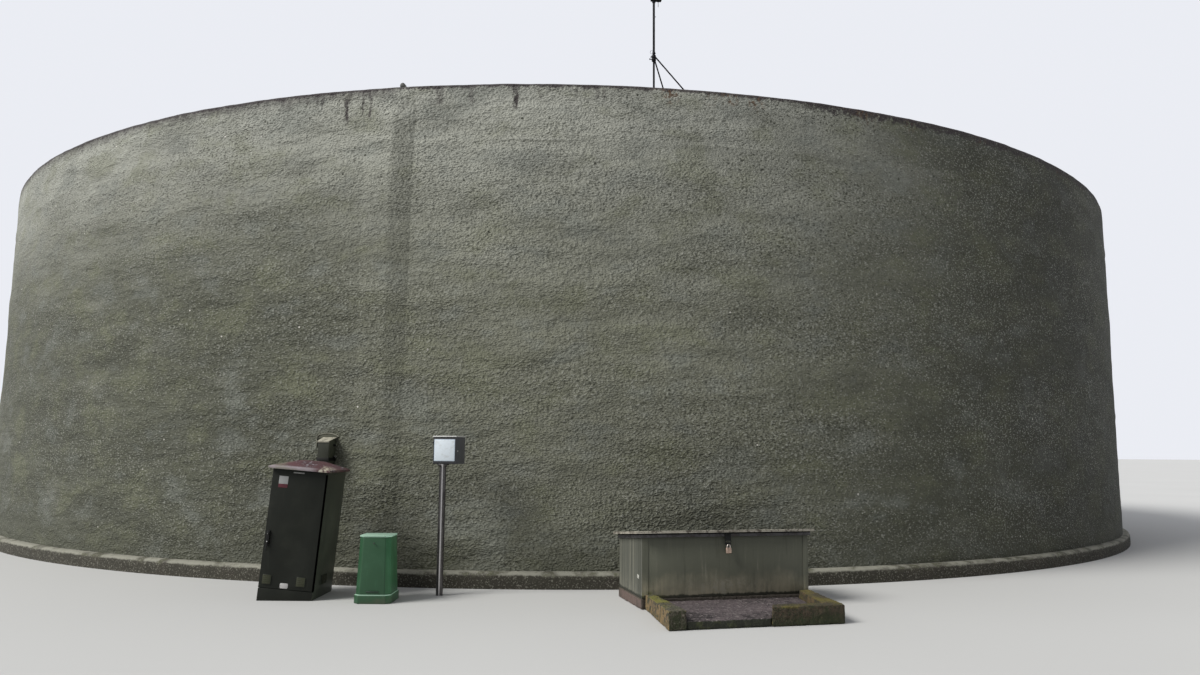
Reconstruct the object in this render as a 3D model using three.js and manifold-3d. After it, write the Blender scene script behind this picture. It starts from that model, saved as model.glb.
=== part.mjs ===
// Ground-level concrete water tank with its valve chamber, service cabinet and sampling point.
// Millimetres, +Z up. The origin is on the tank's axis, at the underside of its floor.
// The front, where the valve chamber stands, looks along -Y.

import * as THREE from "three";
import { mergeVertices } from "three/addons/utils/BufferGeometryUtils.js";
import Module from "manifold-3d";

const wasm = await Module();
wasm.setup();

// Driving dimensions of the drum

const GAP = 0.3;
const DRUM_RADIUS = 12850;
const DRUM_TOP = 6630;
const WALL_THICKNESS = 300;
const ARC_STEP = 2.5;
const WALL_SEGMENT_ARC = 30;
const FOOTING_RADIUS = 12970;
const FOOTING_INNER_RADIUS = 12250;
const FOOTING_TOP = 210;
const FLOOR_THICKNESS = 200;
const RING_BEAM_UNDERSIDE = 5840;
const BEAM_LEDGE_RADIUS = 12250;
const BEAM_LEDGE_TOP = 6440;
const DOME_EDGE_TOP = 6610;
const DOME_EDGE_WIDTH = 260;
const DOME_RISE = 1880;
const DOME_THICKNESS = 120;

// Driving dimensions of the buttress, in degrees clockwise from the front, seen from outside

const BUTTRESS = {
  toeAzimuth: -12.8, faceLeftAzimuth: -11.9, arrisAzimuth: -10.4,
  flankTopAzimuth: -9.25, flankFootAzimuth: -9.85, proud: 70, top: DRUM_TOP - 12,
};
const RIM_FITTING = { azimuth: -10.47, radius: 12790, width: 70, height: 60, depth: 70 };

// Driving dimensions of the mast on the rim

const MAST = {
  azimuth: 5.02, radius: 12690, lowerRadius: 14, upperRadius: 16, step: 7165, top: 8010,
  plate: 120, plateThickness: 8,
};
const BRACE = { radius: 10, foot: 60, footThickness: 6, clampRadius: 30, clampHeight: 40 };
const REAR_BRACE = { azimuth: 6.13, radius: 12400, top: 7085 };
const SIDE_BRACE = { azimuth: 7.06, radius: 12690, top: 7118 };
const MAST_HEAD = { left: -42, right: 108, depth: 70, underside: 7946, height: 136, shoulder: 30 };

// Driving dimensions of the box on the wall

const WALL_BOX = {
  azimuth: -13.75, offset: -75.5, width: 155, depth: 180, underside: 1587, frontTop: 1812, rearTop: 1862,
  glandWidth: 145, glandDepth: 150, glandDrop: 60,
};

// Driving dimensions of the valve chamber and its kerbed apron, in the chamber's own frame

const CHAMBER = {
  azimuth: 12.1, left: -2222, right: -236, front: -14251, rear: -13321,
  frontTop: 814, rearTop: 731, wall: 60, cornerPost: 70, cornerProud: 6,
};
const PLINTH = { top: 120, proud: 12, neckInset: 200 };
const LID = {
  overhang: 78, overhangRight: 50, sheet: 26, skirt: 44, skirtThickness: 12, skirtClear: 12,
};
const HASP = { width: 72, drop: 134, thickness: 8, slotWidth: 30, slotHeight: 22, slotLift: 22 };
const PADLOCK = { width: 74, height: 92, thickness: 30, round: 12, shackleRadius: 5.5, shackleRise: 34 };
const APRON = {
  front: -15442, slabTop: 85, sillSetback: 12, kerbTopBack: 165, kerbTopFront: 192,
  leftKerb: { backOuter: -2187, backInner: -2076, frontOuter: -2315, frontInner: -2125 },
  rightKerb: {
    backOuter: -232, backInner: -363, frontOuter: -438, frontEnd: -1240,
    returnBack: -15262, returnInner: -593, returnEnd: -1150,
  },
};

// Driving dimensions of the service cabinet, in its own frame, at the middle of its front foot

const CABINET = {
  x: -3208, y: -13843, turn: -2, lean: 4.55, width: 627, depth: 760, height: 1440, shell: 20,
  doorThickness: 24, doorFoot: 95, doorClear: 6, foot: 30, buried: 90,
};
const CABINET_LID = { overhangSide: 42, overhangFront: 58, overhangRear: 30, lip: 26, rise: 78, ridge: 0.34 };
const VENT = { width: 96, height: 104, proud: 12, lift: 140, leftInset: 88, rightInset: 150 };
const SIDE_VENT = { width: 190, middle: 352 };
const LATCH = { width: 34, height: 160, proud: 22, inset: 44, lift: 575 };

// Driving dimensions of the sampling point, in its own frame, at the foot of its post

const SAMPLING = {
  x: -1518, y: -13420, turn: -15.5, postRadius: 41, flangeRadius: 74, flangeThickness: 16,
  boxWidth: 290, boxDepth: 290, boxFoot: 1544, boxTop: 1868, shell: 12, doorThickness: 14, doorClear: 6,
  shiftX: 40, shiftY: 85, roofOverhang: 8, roofThickness: 13,
};

// Driving dimensions of the service pillar, in its own frame, at the middle of its front foot

const PILLAR = {
  x: -2182, y: -14050, turn: -2, footWidth: 412, footDepth: 430, footTop: 92, skirtProud: 8,
  shoulderWidth: 392, shoulderDepth: 410, headWidth: 352, headDepth: 340, bodyTop: 725, cap: 20, chamfer: 55,
};

// Finishes

function finish(colour, roughness, metalness = 0) {
  return new THREE.MeshStandardMaterial({ color: colour, roughness, metalness });
}

const FINISHES = {
  gunite: finish(0x5f6455, 0.95),
  concrete: finish(0x77786b, 0.95),
  mossyConcrete: finish(0x4d4a35, 0.97),
  roof: finish(0x6e7064, 0.95),
  paintedSteel: finish(0x565a4c, 0.6),
  lidSheet: finish(0x8d8b80, 0.6),
  cabinetPaint: finish(0x33342e, 0.5),
  cabinetLid: finish(0x5e4643, 0.75),
  darkSteel: finish(0x2f2f2c, 0.5, 0.3),
  brass: finish(0xa9826a, 0.4, 0.8),
  stainless: finish(0x8c8c88, 0.35, 0.9),
  pillarGreen: finish(0x2f6b4c, 0.45),
  pillarCap: finish(0x6fa88d, 0.5),
};

const tank = new THREE.Group();

// Helpers: places, plans and solids

function radians(degrees) {
  return THREE.MathUtils.degToRad(degrees);
}

// A point on a circle about the tank's axis. Azimuth 0 is the front and it grows towards +X.
function polar(radius, azimuth) {
  const angle = radians(azimuth);
  return new THREE.Vector2(radius * Math.sin(angle), -radius * Math.cos(angle));
}

// The drum is a prism with a flat every ARC_STEP, so its radius dips between two corners.
function facetRadius(radius, azimuth) {
  const middle = (Math.floor(azimuth / ARC_STEP) + 0.5) * ARC_STEP;
  return (radius * Math.cos(radians(ARC_STEP / 2))) / Math.cos(radians(azimuth - middle));
}

// Points that follow the drum's flats from one azimuth to another.
function followFacets(radius, from, to) {
  const azimuths = [from];
  for (let corner = Math.ceil(from / ARC_STEP + 1e-6); corner * ARC_STEP < to - 1e-6; corner += 1) {
    azimuths.push(corner * ARC_STEP);
  }
  azimuths.push(to);
  return azimuths.map((azimuth) => polar(facetRadius(radius, azimuth), azimuth));
}

function addNode(parent, name, geometry, material) {
  const mesh = new THREE.Mesh(geometry, material);
  mesh.name = name;
  parent.add(mesh);
  return mesh;
}

function addFrame(x, y, turn) {
  const frame = new THREE.Group();
  frame.position.set(x, y, 0);
  frame.rotation.z = radians(turn);
  tank.add(frame);
  return frame;
}

// A block between two corners, each given as [x, y, z].
function block(low, high) {
  const size = high.map((value, axis) => value - low[axis]);
  const geometry = new THREE.BoxGeometry(...size);
  return geometry.translate(...low.map((value, axis) => value + size[axis] / 2));
}

// An upright prism over a plan outline.
function prism(outline, foot, top) {
  const shape = new THREE.Shape(outline);
  const geometry = new THREE.ExtrudeGeometry(shape, { depth: top - foot, bevelEnabled: false });
  return geometry.translate(0, 0, foot);
}

// A solid along X whose section is drawn in Y and Z.
function bar(section, from, to) {
  const geometry = new THREE.ExtrudeGeometry(new THREE.Shape(section), {
    depth: to - from, bevelEnabled: false,
  });
  const turn = new THREE.Matrix4().makeBasis(
    new THREE.Vector3(0, 1, 0), new THREE.Vector3(0, 0, 1), new THREE.Vector3(1, 0, 0),
  );
  return geometry.applyMatrix4(turn).translate(from, 0, 0);
}

// A full ring about the tank's axis from a closed profile of [radius, height] corners.
function ring(profile, step = ARC_STEP) {
  const points = profile.map(([radius, height]) => new THREE.Vector2(radius, height));
  return new THREE.LatheGeometry(points, 360 / step).rotateX(Math.PI / 2);
}

// A solid between two level outlines with the same number of corners, both anticlockwise.
function loft(lower, foot, upper, top) {
  const count = lower.length;
  const corners = [
    ...lower.map((point) => [point.x, point.y, foot]),
    ...upper.map((point) => [point.x, point.y, top]),
  ];
  const faces = [];
  for (const [a, b, c] of THREE.ShapeUtils.triangulateShape(lower, [])) {
    faces.push(a, c, b);
  }
  for (const [a, b, c] of THREE.ShapeUtils.triangulateShape(upper, [])) {
    faces.push(a + count, b + count, c + count);
  }
  for (let here = 0; here < count; here += 1) {
    const next = (here + 1) % count;
    faces.push(here, next, next + count, here, next + count, here + count);
  }
  const geometry = new THREE.BufferGeometry();
  geometry.setAttribute("position", new THREE.Float32BufferAttribute(corners.flat(), 3));
  geometry.setIndex(faces);
  return geometry;
}

function rod(from, to, radius, sides = 12) {
  const start = new THREE.Vector3(...from);
  const span = new THREE.Vector3(...to).sub(start);
  const geometry = new THREE.CylinderGeometry(radius, radius, span.length(), sides);
  geometry.translate(0, span.length() / 2, 0);
  const turn = new THREE.Quaternion().setFromUnitVectors(new THREE.Vector3(0, 1, 0), span.normalize());
  return geometry.applyQuaternion(turn).translate(...from);
}

// Manifold joins and cuts

function solidOf(geometry) {
  const bare = geometry.clone();
  bare.deleteAttribute("normal");
  bare.deleteAttribute("uv");
  const merged = mergeVertices(bare, 1e-3);
  return new wasm.Manifold(new wasm.Mesh({
    numProp: 3,
    vertProperties: Float32Array.from(merged.attributes.position.array),
    triVerts: Uint32Array.from(merged.index.array),
  }));
}

function geometryOf(solid) {
  const mesh = solid.getMesh();
  const geometry = new THREE.BufferGeometry();
  geometry.setAttribute("position", new THREE.Float32BufferAttribute(mesh.vertProperties, 3));
  geometry.setIndex(Array.from(mesh.triVerts));
  return geometry;
}

function join(first, ...others) {
  return geometryOf(others.reduce((solid, other) => solid.add(solidOf(other)), solidOf(first)));
}

function cut(first, ...others) {
  return geometryOf(others.reduce((solid, other) => solid.subtract(solidOf(other)), solidOf(first)));
}

// The drum: footing, floor, wall, ring beam and roof

function addFooting() {
  const haunch = FOOTING_RADIUS - DRUM_RADIUS;
  const profile = [
    [FOOTING_INNER_RADIUS, 0],
    [FOOTING_RADIUS, 0],
    [FOOTING_RADIUS, FOOTING_TOP - haunch / 2],
    [FOOTING_RADIUS - haunch / 8, FOOTING_TOP - haunch / 5],
    [FOOTING_RADIUS - haunch / 2, FOOTING_TOP - haunch / 16],
    [DRUM_RADIUS + haunch / 8, FOOTING_TOP],
    [FOOTING_INNER_RADIUS, FOOTING_TOP],
    [FOOTING_INNER_RADIUS, 0],
  ];
  addNode(tank, "ring_footing", ring(profile), FINISHES.concrete);
}

function addFloor() {
  const edge = FOOTING_INNER_RADIUS - GAP;
  const profile = [[0, 0], [edge, 0], [edge, FLOOR_THICKNESS], [0, FLOOR_THICKNESS]];
  addNode(tank, "floor_slab", ring(profile), FINISHES.concrete);
}

// A joint of GAP is left between two segments, so each ends a hair inside its arc.
function wallOutline(from, to) {
  const inner = DRUM_RADIUS - WALL_THICKNESS;
  const outside = followFacets(DRUM_RADIUS, from, to);
  const inside = followFacets(inner, from, to);
  return [...outside, ...inside.reverse()];
}

function addWall() {
  const jointArc = THREE.MathUtils.radToDeg(GAP / DRUM_RADIUS);
  for (let index = 0; index < 360 / WALL_SEGMENT_ARC; index += 1) {
    const from = (index - 0.5) * WALL_SEGMENT_ARC;
    const outline = wallOutline(from + jointArc, from + WALL_SEGMENT_ARC - jointArc);
    const name = `wall_segment_${String(index + 1).padStart(2, "0")}`;
    const geometry = prism(outline, FOOTING_TOP + GAP, RING_BEAM_UNDERSIDE);
    addNode(tank, name, geometry, FINISHES.gunite);
  }
}

function addRingBeam() {
  const inner = DRUM_RADIUS - WALL_THICKNESS;
  const foot = RING_BEAM_UNDERSIDE + GAP;
  const corbel = inner - BEAM_LEDGE_RADIUS;
  const profile = [
    [inner, foot],
    [DRUM_RADIUS, foot],
    [DRUM_RADIUS, DRUM_TOP],
    [inner, DRUM_TOP],
    [inner, BEAM_LEDGE_TOP],
    [BEAM_LEDGE_RADIUS, BEAM_LEDGE_TOP],
    [BEAM_LEDGE_RADIUS, BEAM_LEDGE_TOP - corbel / 2],
    [inner, foot],
  ];
  addNode(tank, "ring_beam", ring(profile), FINISHES.gunite);
}

// Points of a shallow sphere of the given edge radius and rise, from the edge to the crown.
function domeArc(edge, foot, rise, steps) {
  const sphere = (edge * edge + rise * rise) / (2 * rise);
  const half = Math.asin(edge / sphere);
  const points = [];
  for (let step = 0; step <= steps; step += 1) {
    const angle = half * (1 - step / steps);
    points.push([sphere * Math.sin(angle), foot + sphere * (Math.cos(angle) - Math.cos(half))]);
  }
  points[steps][0] = 0;
  return points;
}

function addDome() {
  const steps = 9;
  const outerEdge = DRUM_RADIUS - WALL_THICKNESS - GAP;
  const flatEdge = outerEdge - DOME_EDGE_WIDTH;
  const outside = domeArc(flatEdge, DOME_EDGE_TOP, DOME_RISE, steps);
  const inside = domeArc(
    flatEdge - DOME_THICKNESS, DOME_EDGE_TOP - DOME_THICKNESS / 2, DOME_RISE - DOME_THICKNESS / 2, steps,
  );
  const profile = [
    ...inside.reverse(),
    [BEAM_LEDGE_RADIUS + DOME_THICKNESS / 8, BEAM_LEDGE_TOP + GAP],
    [outerEdge, BEAM_LEDGE_TOP + GAP],
    [outerEdge, DOME_EDGE_TOP],
    ...outside,
  ];
  addNode(tank, "roof_dome", ring(profile, 2 * ARC_STEP), FINISHES.roof);
}

// The buttress that the wall's bands anchor in, with one sharp arris and a sloping right flank.
function addButtress() {
  const { toeAzimuth, faceLeftAzimuth, arrisAzimuth, flankTopAzimuth, flankFootAzimuth } = BUTTRESS;
  const outline = (flankAzimuth) => [
    ...followFacets(DRUM_RADIUS + GAP, toeAzimuth, flankAzimuth),
    polar(DRUM_RADIUS + BUTTRESS.proud * 0.5, (arrisAzimuth + flankAzimuth) / 2),
    polar(DRUM_RADIUS + BUTTRESS.proud, arrisAzimuth),
    polar(DRUM_RADIUS + BUTTRESS.proud * 0.94, faceLeftAzimuth),
    polar(DRUM_RADIUS + BUTTRESS.proud * 0.32, (toeAzimuth + faceLeftAzimuth) / 2),
  ].reverse();
  const foot = FOOTING_TOP + GAP;
  const geometry = loft(outline(flankFootAzimuth), foot, outline(flankTopAzimuth), BUTTRESS.top);
  addNode(tank, "wall_buttress", geometry, FINISHES.gunite);
}

function addRimFitting() {
  const { azimuth, radius, width, height, depth } = RIM_FITTING;
  const shape = new THREE.Shape();
  shape.moveTo(-width / 2, 0);
  shape.lineTo(width / 2, 0);
  shape.absarc(0, height - width / 2, width / 2, 0, Math.PI, false);
  const geometry = new THREE.ExtrudeGeometry(shape, { depth, bevelEnabled: false, curveSegments: 8 });
  geometry.rotateX(Math.PI / 2).translate(0, depth / 2, DRUM_TOP + GAP);
  const place = polar(radius, azimuth);
  const frame = addFrame(place.x, place.y, azimuth);
  addNode(frame, "rim_fitting", geometry, FINISHES.darkSteel);
}

// The mast

function addMast() {
  const at = polar(MAST.radius, MAST.azimuth);
  const frame = addFrame(at.x, at.y, MAST.azimuth);
  const foot = DRUM_TOP + GAP;
  const half = MAST.plate / 2;
  const plate = block([-half, -half, foot], [half, half, foot + MAST.plateThickness]);
  const lower = rod([0, 0, foot], [0, 0, MAST.step + 20], MAST.lowerRadius);
  const upper = rod([0, 0, MAST.step], [0, 0, MAST.top], MAST.upperRadius);
  addNode(frame, "mast_pole", join(plate, lower, upper), FINISHES.darkSteel);

  const { left, right, depth, underside, height, shoulder } = MAST_HEAD;
  const outline = [
    new THREE.Vector2(left, 0), new THREE.Vector2(right, 0),
    new THREE.Vector2(right, height - shoulder), new THREE.Vector2(right - shoulder, height),
    new THREE.Vector2(left + shoulder, height), new THREE.Vector2(left, height - shoulder),
  ];
  const shell = prism(outline, -depth / 2, depth / 2).rotateX(Math.PI / 2).translate(0, 0, underside);
  const socket = rod([0, 0, underside - 10], [0, 0, MAST.top + GAP], MAST.upperRadius + GAP);
  addNode(frame, "mast_head", cut(shell, socket), FINISHES.darkSteel);
}

// One brace with its clamp collar round the pole and its foot plate on the roof.
function addBrace(name, brace, restsOn, shift) {
  const mast = polar(MAST.radius, MAST.azimuth);
  const end = polar(brace.radius, brace.azimuth);
  const foot = restsOn + GAP;
  const reach = new THREE.Vector2().subVectors(end, mast).normalize().multiplyScalar(BRACE.clampRadius - 4);
  const start = [mast.x + reach.x, mast.y + reach.y, brace.top];
  const leg = rod(start, [end.x, end.y, foot + BRACE.footThickness / 2], BRACE.radius, 8);
  const half = BRACE.foot / 2;
  const plate = block(
    [end.x - half, end.y - half, foot],
    [end.x + half, end.y + half, foot + BRACE.footThickness],
  );
  const low = brace.top - BRACE.clampHeight / 2 + shift;
  const collar = rod([mast.x, mast.y, low], [mast.x, mast.y, low + BRACE.clampHeight], BRACE.clampRadius);
  const bore = rod(
    [mast.x, mast.y, low - 5], [mast.x, mast.y, low + BRACE.clampHeight + 5], MAST.lowerRadius + GAP,
  );
  const below = block(
    [end.x - BRACE.foot, end.y - BRACE.foot, foot - BRACE.foot],
    [end.x + BRACE.foot, end.y + BRACE.foot, foot],
  );
  const body = join(collar, leg, plate);
  addNode(tank, name, cut(body, bore, below), FINISHES.darkSteel);
}

function addBraces() {
  addBrace("mast_rear_brace", REAR_BRACE, DOME_EDGE_TOP, -6);
  addBrace("mast_side_brace", SIDE_BRACE, DRUM_TOP, 6);
}

// The box on the wall, with a sloping top and a cable gland under it

function addWallBox() {
  const flat = DRUM_RADIUS * Math.cos(radians(ARC_STEP / 2));
  const frame = addFrame(0, 0, WALL_BOX.azimuth);
  const back = -(flat + GAP);
  const front = back - WALL_BOX.depth;
  const { underside, frontTop, rearTop, width } = WALL_BOX;
  const section = [
    new THREE.Vector2(front, underside), new THREE.Vector2(back, underside),
    new THREE.Vector2(back, rearTop), new THREE.Vector2(front, frontTop),
  ];
  const middle = WALL_BOX.offset;
  const housing = bar(section, middle - width / 2, middle + width / 2);
  const gland = block(
    [middle - WALL_BOX.glandWidth / 2, back - WALL_BOX.glandDepth, underside - WALL_BOX.glandDrop],
    [middle + WALL_BOX.glandWidth / 2, back, underside + 1],
  );
  addNode(frame, "wall_box", join(housing, gland), FINISHES.paintedSteel);
}

// The valve chamber: plinth, four walls with a raking top, and a hinged lid

function chamberTop(y) {
  const { front, rear, frontTop, rearTop } = CHAMBER;
  return frontTop + ((rearTop - frontTop) * (y - front)) / (rear - front);
}

// Behind the chamber the plinth narrows to the neck that meets the drum's footing.
function addPlinth(frame) {
  const { front, rear } = CHAMBER;
  const left = CHAMBER.left - PLINTH.proud;
  const right = CHAMBER.right + PLINTH.proud;
  const neck = left + PLINTH.neckInset;
  const outer = FOOTING_RADIUS + 2 * GAP;
  const startAngle = THREE.MathUtils.radToDeg(Math.asin(right / outer));
  const endAngle = THREE.MathUtils.radToDeg(Math.asin(neck / outer));
  const steps = 24;
  const outline = [new THREE.Vector2(left, front), new THREE.Vector2(right, front)];
  for (let step = 0; step <= steps; step += 1) {
    outline.push(polar(outer, startAngle + ((endAngle - startAngle) * step) / steps));
  }
  outline.push(new THREE.Vector2(neck, rear), new THREE.Vector2(left, rear));
  addNode(frame, "chamber_plinth", prism(outline, 0, PLINTH.top), FINISHES.mossyConcrete);
}

// A wall that runs from front to back under the raking top.
function sideWall(x0, x1) {
  const { front, rear } = CHAMBER;
  const foot = PLINTH.top + GAP;
  const section = [
    new THREE.Vector2(front, foot), new THREE.Vector2(rear, foot),
    new THREE.Vector2(rear, chamberTop(rear)), new THREE.Vector2(front, chamberTop(front)),
  ];
  return bar(section, x0, x1);
}

// A wall across the chamber, between the two side walls.
function crossWall(y0, y1) {
  const { left, right, wall } = CHAMBER;
  const foot = PLINTH.top + GAP;
  const section = [
    new THREE.Vector2(y0, foot), new THREE.Vector2(y1, foot),
    new THREE.Vector2(y1, chamberTop(y1)), new THREE.Vector2(y0, chamberTop(y0)),
  ];
  return bar(section, left + wall + GAP, right - wall - GAP);
}

function addChamberWalls(frame) {
  const { left, right, front, rear, wall, cornerPost, cornerProud } = CHAMBER;
  const frontPanel = crossWall(front + cornerProud, front + wall);
  addNode(frame, "chamber_front_wall", frontPanel, FINISHES.paintedSteel);
  addNode(frame, "chamber_rear_wall", crossWall(rear - wall, rear), FINISHES.paintedSteel);
  addNode(frame, "chamber_right_wall", sideWall(right - wall, right), FINISHES.paintedSteel);
  const panel = sideWall(left, left + wall);
  const cover = block(
    [left + wall - 1, front, PLINTH.top + GAP],
    [left + cornerPost, front + cornerProud - GAP, chamberTop(front + cornerProud)],
  );
  addNode(frame, "chamber_left_wall", join(panel, cover), FINISHES.paintedSteel);
}

// The lid is modelled closed. It lies on the walls' raking top and turns about its rear edge.
function addLid(frame) {
  const { left, right, front, rear, frontTop } = CHAMBER;
  const rake = Math.atan2(chamberTop(rear) - frontTop, rear - front);
  const lidFrame = new THREE.Group();
  lidFrame.position.set(0, rear, chamberTop(rear) + GAP);
  lidFrame.rotation.x = rake;
  frame.add(lidFrame);
  const reach = (front - rear) / Math.cos(rake);
  const x0 = left - LID.overhang;
  const x1 = right + LID.overhangRight;
  const y0 = reach - LID.overhang;
  const sheet = block([x0, y0, 0], [x1, 0, LID.sheet]);
  const skirtOuter = LID.skirtClear + LID.skirtThickness;
  const xa = left - skirtOuter;
  const xb = right + skirtOuter;
  const ya = reach - skirtOuter;
  const rearStop = -LID.skirtClear;
  const skirts = [
    block([xa, ya, -LID.skirt], [xb, ya + LID.skirtThickness, 1]),
    block([xa, ya, -LID.skirt], [xa + LID.skirtThickness, rearStop, 1]),
    block([xb - LID.skirtThickness, ya, -LID.skirt], [xb, rearStop, 1]),
  ];
  addNode(lidFrame, "chamber_lid", join(sheet, ...skirts), FINISHES.lidSheet);
  addHasp(lidFrame, (left + right) / 2, ya);
}

function addHasp(lidFrame, x, skirtFace) {
  const face = skirtFace - GAP;
  const outer = face - HASP.thickness;
  const strap = block([x - HASP.width / 2, outer, -HASP.drop], [x + HASP.width / 2, face, -GAP]);
  const slotFoot = -HASP.drop + HASP.slotLift;
  const slot = block(
    [x - HASP.slotWidth, outer - 5, slotFoot],
    [x + HASP.slotWidth, face + 5, slotFoot + HASP.slotHeight],
  );
  addNode(lidFrame, "chamber_hasp", cut(strap, slot), FINISHES.darkSteel);
  addPadlock(lidFrame, x, (outer + face) / 2, slotFoot);
}

// The padlock hangs on the strap: its shackle passes through the slot and rests on its lower edge.
function addPadlock(lidFrame, x, middle, slotFoot) {
  const { width, height, thickness, round, shackleRadius, shackleRise } = PADLOCK;
  const loopHalf = HASP.thickness / 2 + shackleRadius + 3;
  const crown = slotFoot + 2 * GAP;
  const shoulder = crown - HASP.slotLift - 6;
  const body = new THREE.Shape();
  const half = width / 2;
  body.moveTo(-half, -height);
  body.lineTo(half, -height);
  body.lineTo(half, -round);
  body.absarc(half - round, -round, round, 0, Math.PI / 2, false);
  body.absarc(round - half, -round, round, Math.PI / 2, Math.PI, false);
  const housing = new THREE.ExtrudeGeometry(body, {
    depth: thickness, bevelEnabled: false, curveSegments: 4,
  });
  housing.rotateX(Math.PI / 2).translate(x, middle + thickness / 2, shoulder);
  const path = new THREE.CurvePath();
  const top = crown + shackleRadius;
  const inFront = middle - loopHalf;
  const behind = middle + loopHalf;
  const from = new THREE.Vector3(x, inFront, shoulder - 4);
  const bend = shackleRise / 2;
  path.add(new THREE.LineCurve3(from, new THREE.Vector3(x, inFront, top - bend / 2)));
  path.add(new THREE.QuadraticBezierCurve3(
    new THREE.Vector3(x, inFront, top - bend / 2), new THREE.Vector3(x, inFront, top),
    new THREE.Vector3(x, middle, top),
  ));
  path.add(new THREE.QuadraticBezierCurve3(
    new THREE.Vector3(x, middle, top), new THREE.Vector3(x, behind, top),
    new THREE.Vector3(x, behind, top - bend / 2),
  ));
  path.add(new THREE.LineCurve3(
    new THREE.Vector3(x, behind, top - bend / 2), new THREE.Vector3(x, behind, shoulder - 4),
  ));
  const section = new THREE.Shape();
  section.absarc(0, 0, shackleRadius, 0, 2 * Math.PI, false);
  const shackle = new THREE.ExtrudeGeometry(section, {
    steps: 16, extrudePath: path, bevelEnabled: false, curveSegments: 4,
  });
  addNode(lidFrame, "chamber_padlock", join(housing, shackle), FINISHES.brass);
}

// The kerbed apron in front of the chamber. Its kerbs splay, and rise towards the front.

// The x at a given y on the line between two [x, y] corners.
function crossing([x0, y0], [x1, y1], y) {
  return x0 + ((x1 - x0) * (y - y0)) / (y1 - y0);
}

function kerbOf(corners, back) {
  const { front, kerbTopBack, kerbTopFront } = APRON;
  const outline = corners.map(([x, y]) => new THREE.Vector2(x, y));
  const geometry = prism(outline, 0, kerbTopBack);
  const position = geometry.attributes.position;
  for (let index = 0; index < position.count; index += 1) {
    if (position.getZ(index) > 0) {
      const share = (back - position.getY(index)) / (back - front);
      position.setZ(index, kerbTopBack + (kerbTopFront - kerbTopBack) * share);
    }
  }
  geometry.computeVertexNormals();
  return geometry;
}

function addApron(frame) {
  const { front, slabTop, sillSetback, leftKerb, rightKerb } = APRON;
  const back = CHAMBER.front - GAP;
  const leftCorners = [
    [leftKerb.frontOuter, front], [leftKerb.frontInner, front],
    [leftKerb.backInner, back], [leftKerb.backOuter, back],
  ];
  const rightCorners = [
    [rightKerb.frontEnd, front], [rightKerb.frontOuter, front],
    [rightKerb.backOuter, back], [rightKerb.backInner, back],
    [rightKerb.returnInner, rightKerb.returnBack], [rightKerb.returnEnd, rightKerb.returnBack],
  ];
  addNode(frame, "apron_left_kerb", kerbOf(leftCorners, back), FINISHES.mossyConcrete);
  addNode(frame, "apron_right_kerb", kerbOf(rightCorners, back), FINISHES.mossyConcrete);

  const sill = front + sillSetback;
  const sillLeft = crossing(leftCorners[1], leftCorners[2], sill) + GAP;
  const sillRight = crossing(rightCorners[0], rightCorners[5], sill) - 2 * GAP;
  const slab = [
    [sillLeft, sill], [sillRight, sill],
    [rightKerb.returnEnd - 2 * GAP, rightKerb.returnBack + GAP],
    [rightKerb.returnInner - GAP, rightKerb.returnBack + GAP],
    [rightKerb.backInner - GAP, back], [leftKerb.backInner + GAP, back],
  ].map(([x, y]) => new THREE.Vector2(x, y));
  addNode(frame, "apron_slab", prism(slab, 0, slabTop), FINISHES.mossyConcrete);
}

function addChamber() {
  const frame = addFrame(0, 0, CHAMBER.azimuth);
  addPlinth(frame);
  addChamberWalls(frame);
  addLid(frame);
  addApron(frame);
}

// The service cabinet leans to its right, and its foot is cut level where it stands

function addCabinet() {
  const ground = addFrame(CABINET.x, CABINET.y, CABINET.turn);
  const frame = new THREE.Group();
  frame.position.z = CABINET.foot;
  frame.rotation.y = radians(CABINET.lean);
  ground.add(frame);
  addCabinetBody(frame);
  addCabinetDoor(frame);
  addCabinetLid(frame);
}

// A louvre cover, half sunk in the panel that it sits on.
function ventCover(x, y, z, halfX, halfY) {
  return block([x - halfX, y - halfY, z], [x + halfX, y + halfY, z + VENT.height]);
}

function addCabinetBody(frame) {
  const { width, depth, height, shell, doorThickness, doorFoot, buried, foot, lean } = CABINET;
  const half = width / 2;
  const bodyFront = doorThickness + GAP;
  const outer = block([-half, bodyFront, -buried], [half, depth, height]);
  const plinthFront = block([-half, 0, -buried], [half, bodyFront + 1, doorFoot - CABINET.doorClear]);
  const room = block(
    [-half + shell, bodyFront - 5, doorFoot], [half - shell, depth - shell, height - shell],
  );
  const reach = 2 * width;
  const ground = block([-reach, -depth, -reach], [reach, 2 * depth, 0]);
  ground.rotateY(-radians(lean)).translate(
    foot * Math.sin(radians(lean)), 0, -foot * Math.cos(radians(lean)),
  );
  const cover = ventCover(half, SIDE_VENT.middle, VENT.lift, VENT.proud, SIDE_VENT.width / 2);
  addNode(frame, "cabinet_body", cut(join(outer, plinthFront, cover), room, ground), FINISHES.cabinetPaint);
}

function addCabinetDoor(frame) {
  const { width, height, doorThickness, doorFoot, doorClear } = CABINET;
  const half = width / 2;
  const top = height - doorClear;
  const panel = block([-half, 0, doorFoot], [half - doorClear, doorThickness, top]);
  const covers = [VENT.leftInset - half, half - VENT.rightInset].map(
    (x) => ventCover(x, 0, VENT.lift, VENT.width / 2, VENT.proud),
  );
  addNode(frame, "cabinet_door", join(panel, ...covers), FINISHES.cabinetPaint);
  const x = LATCH.inset - half;
  const latch = block(
    [x - LATCH.width / 2, -LATCH.proud, LATCH.lift], [x + LATCH.width / 2, -GAP, LATCH.lift + LATCH.height],
  );
  addNode(frame, "cabinet_latch", latch, FINISHES.darkSteel);
}

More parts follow.
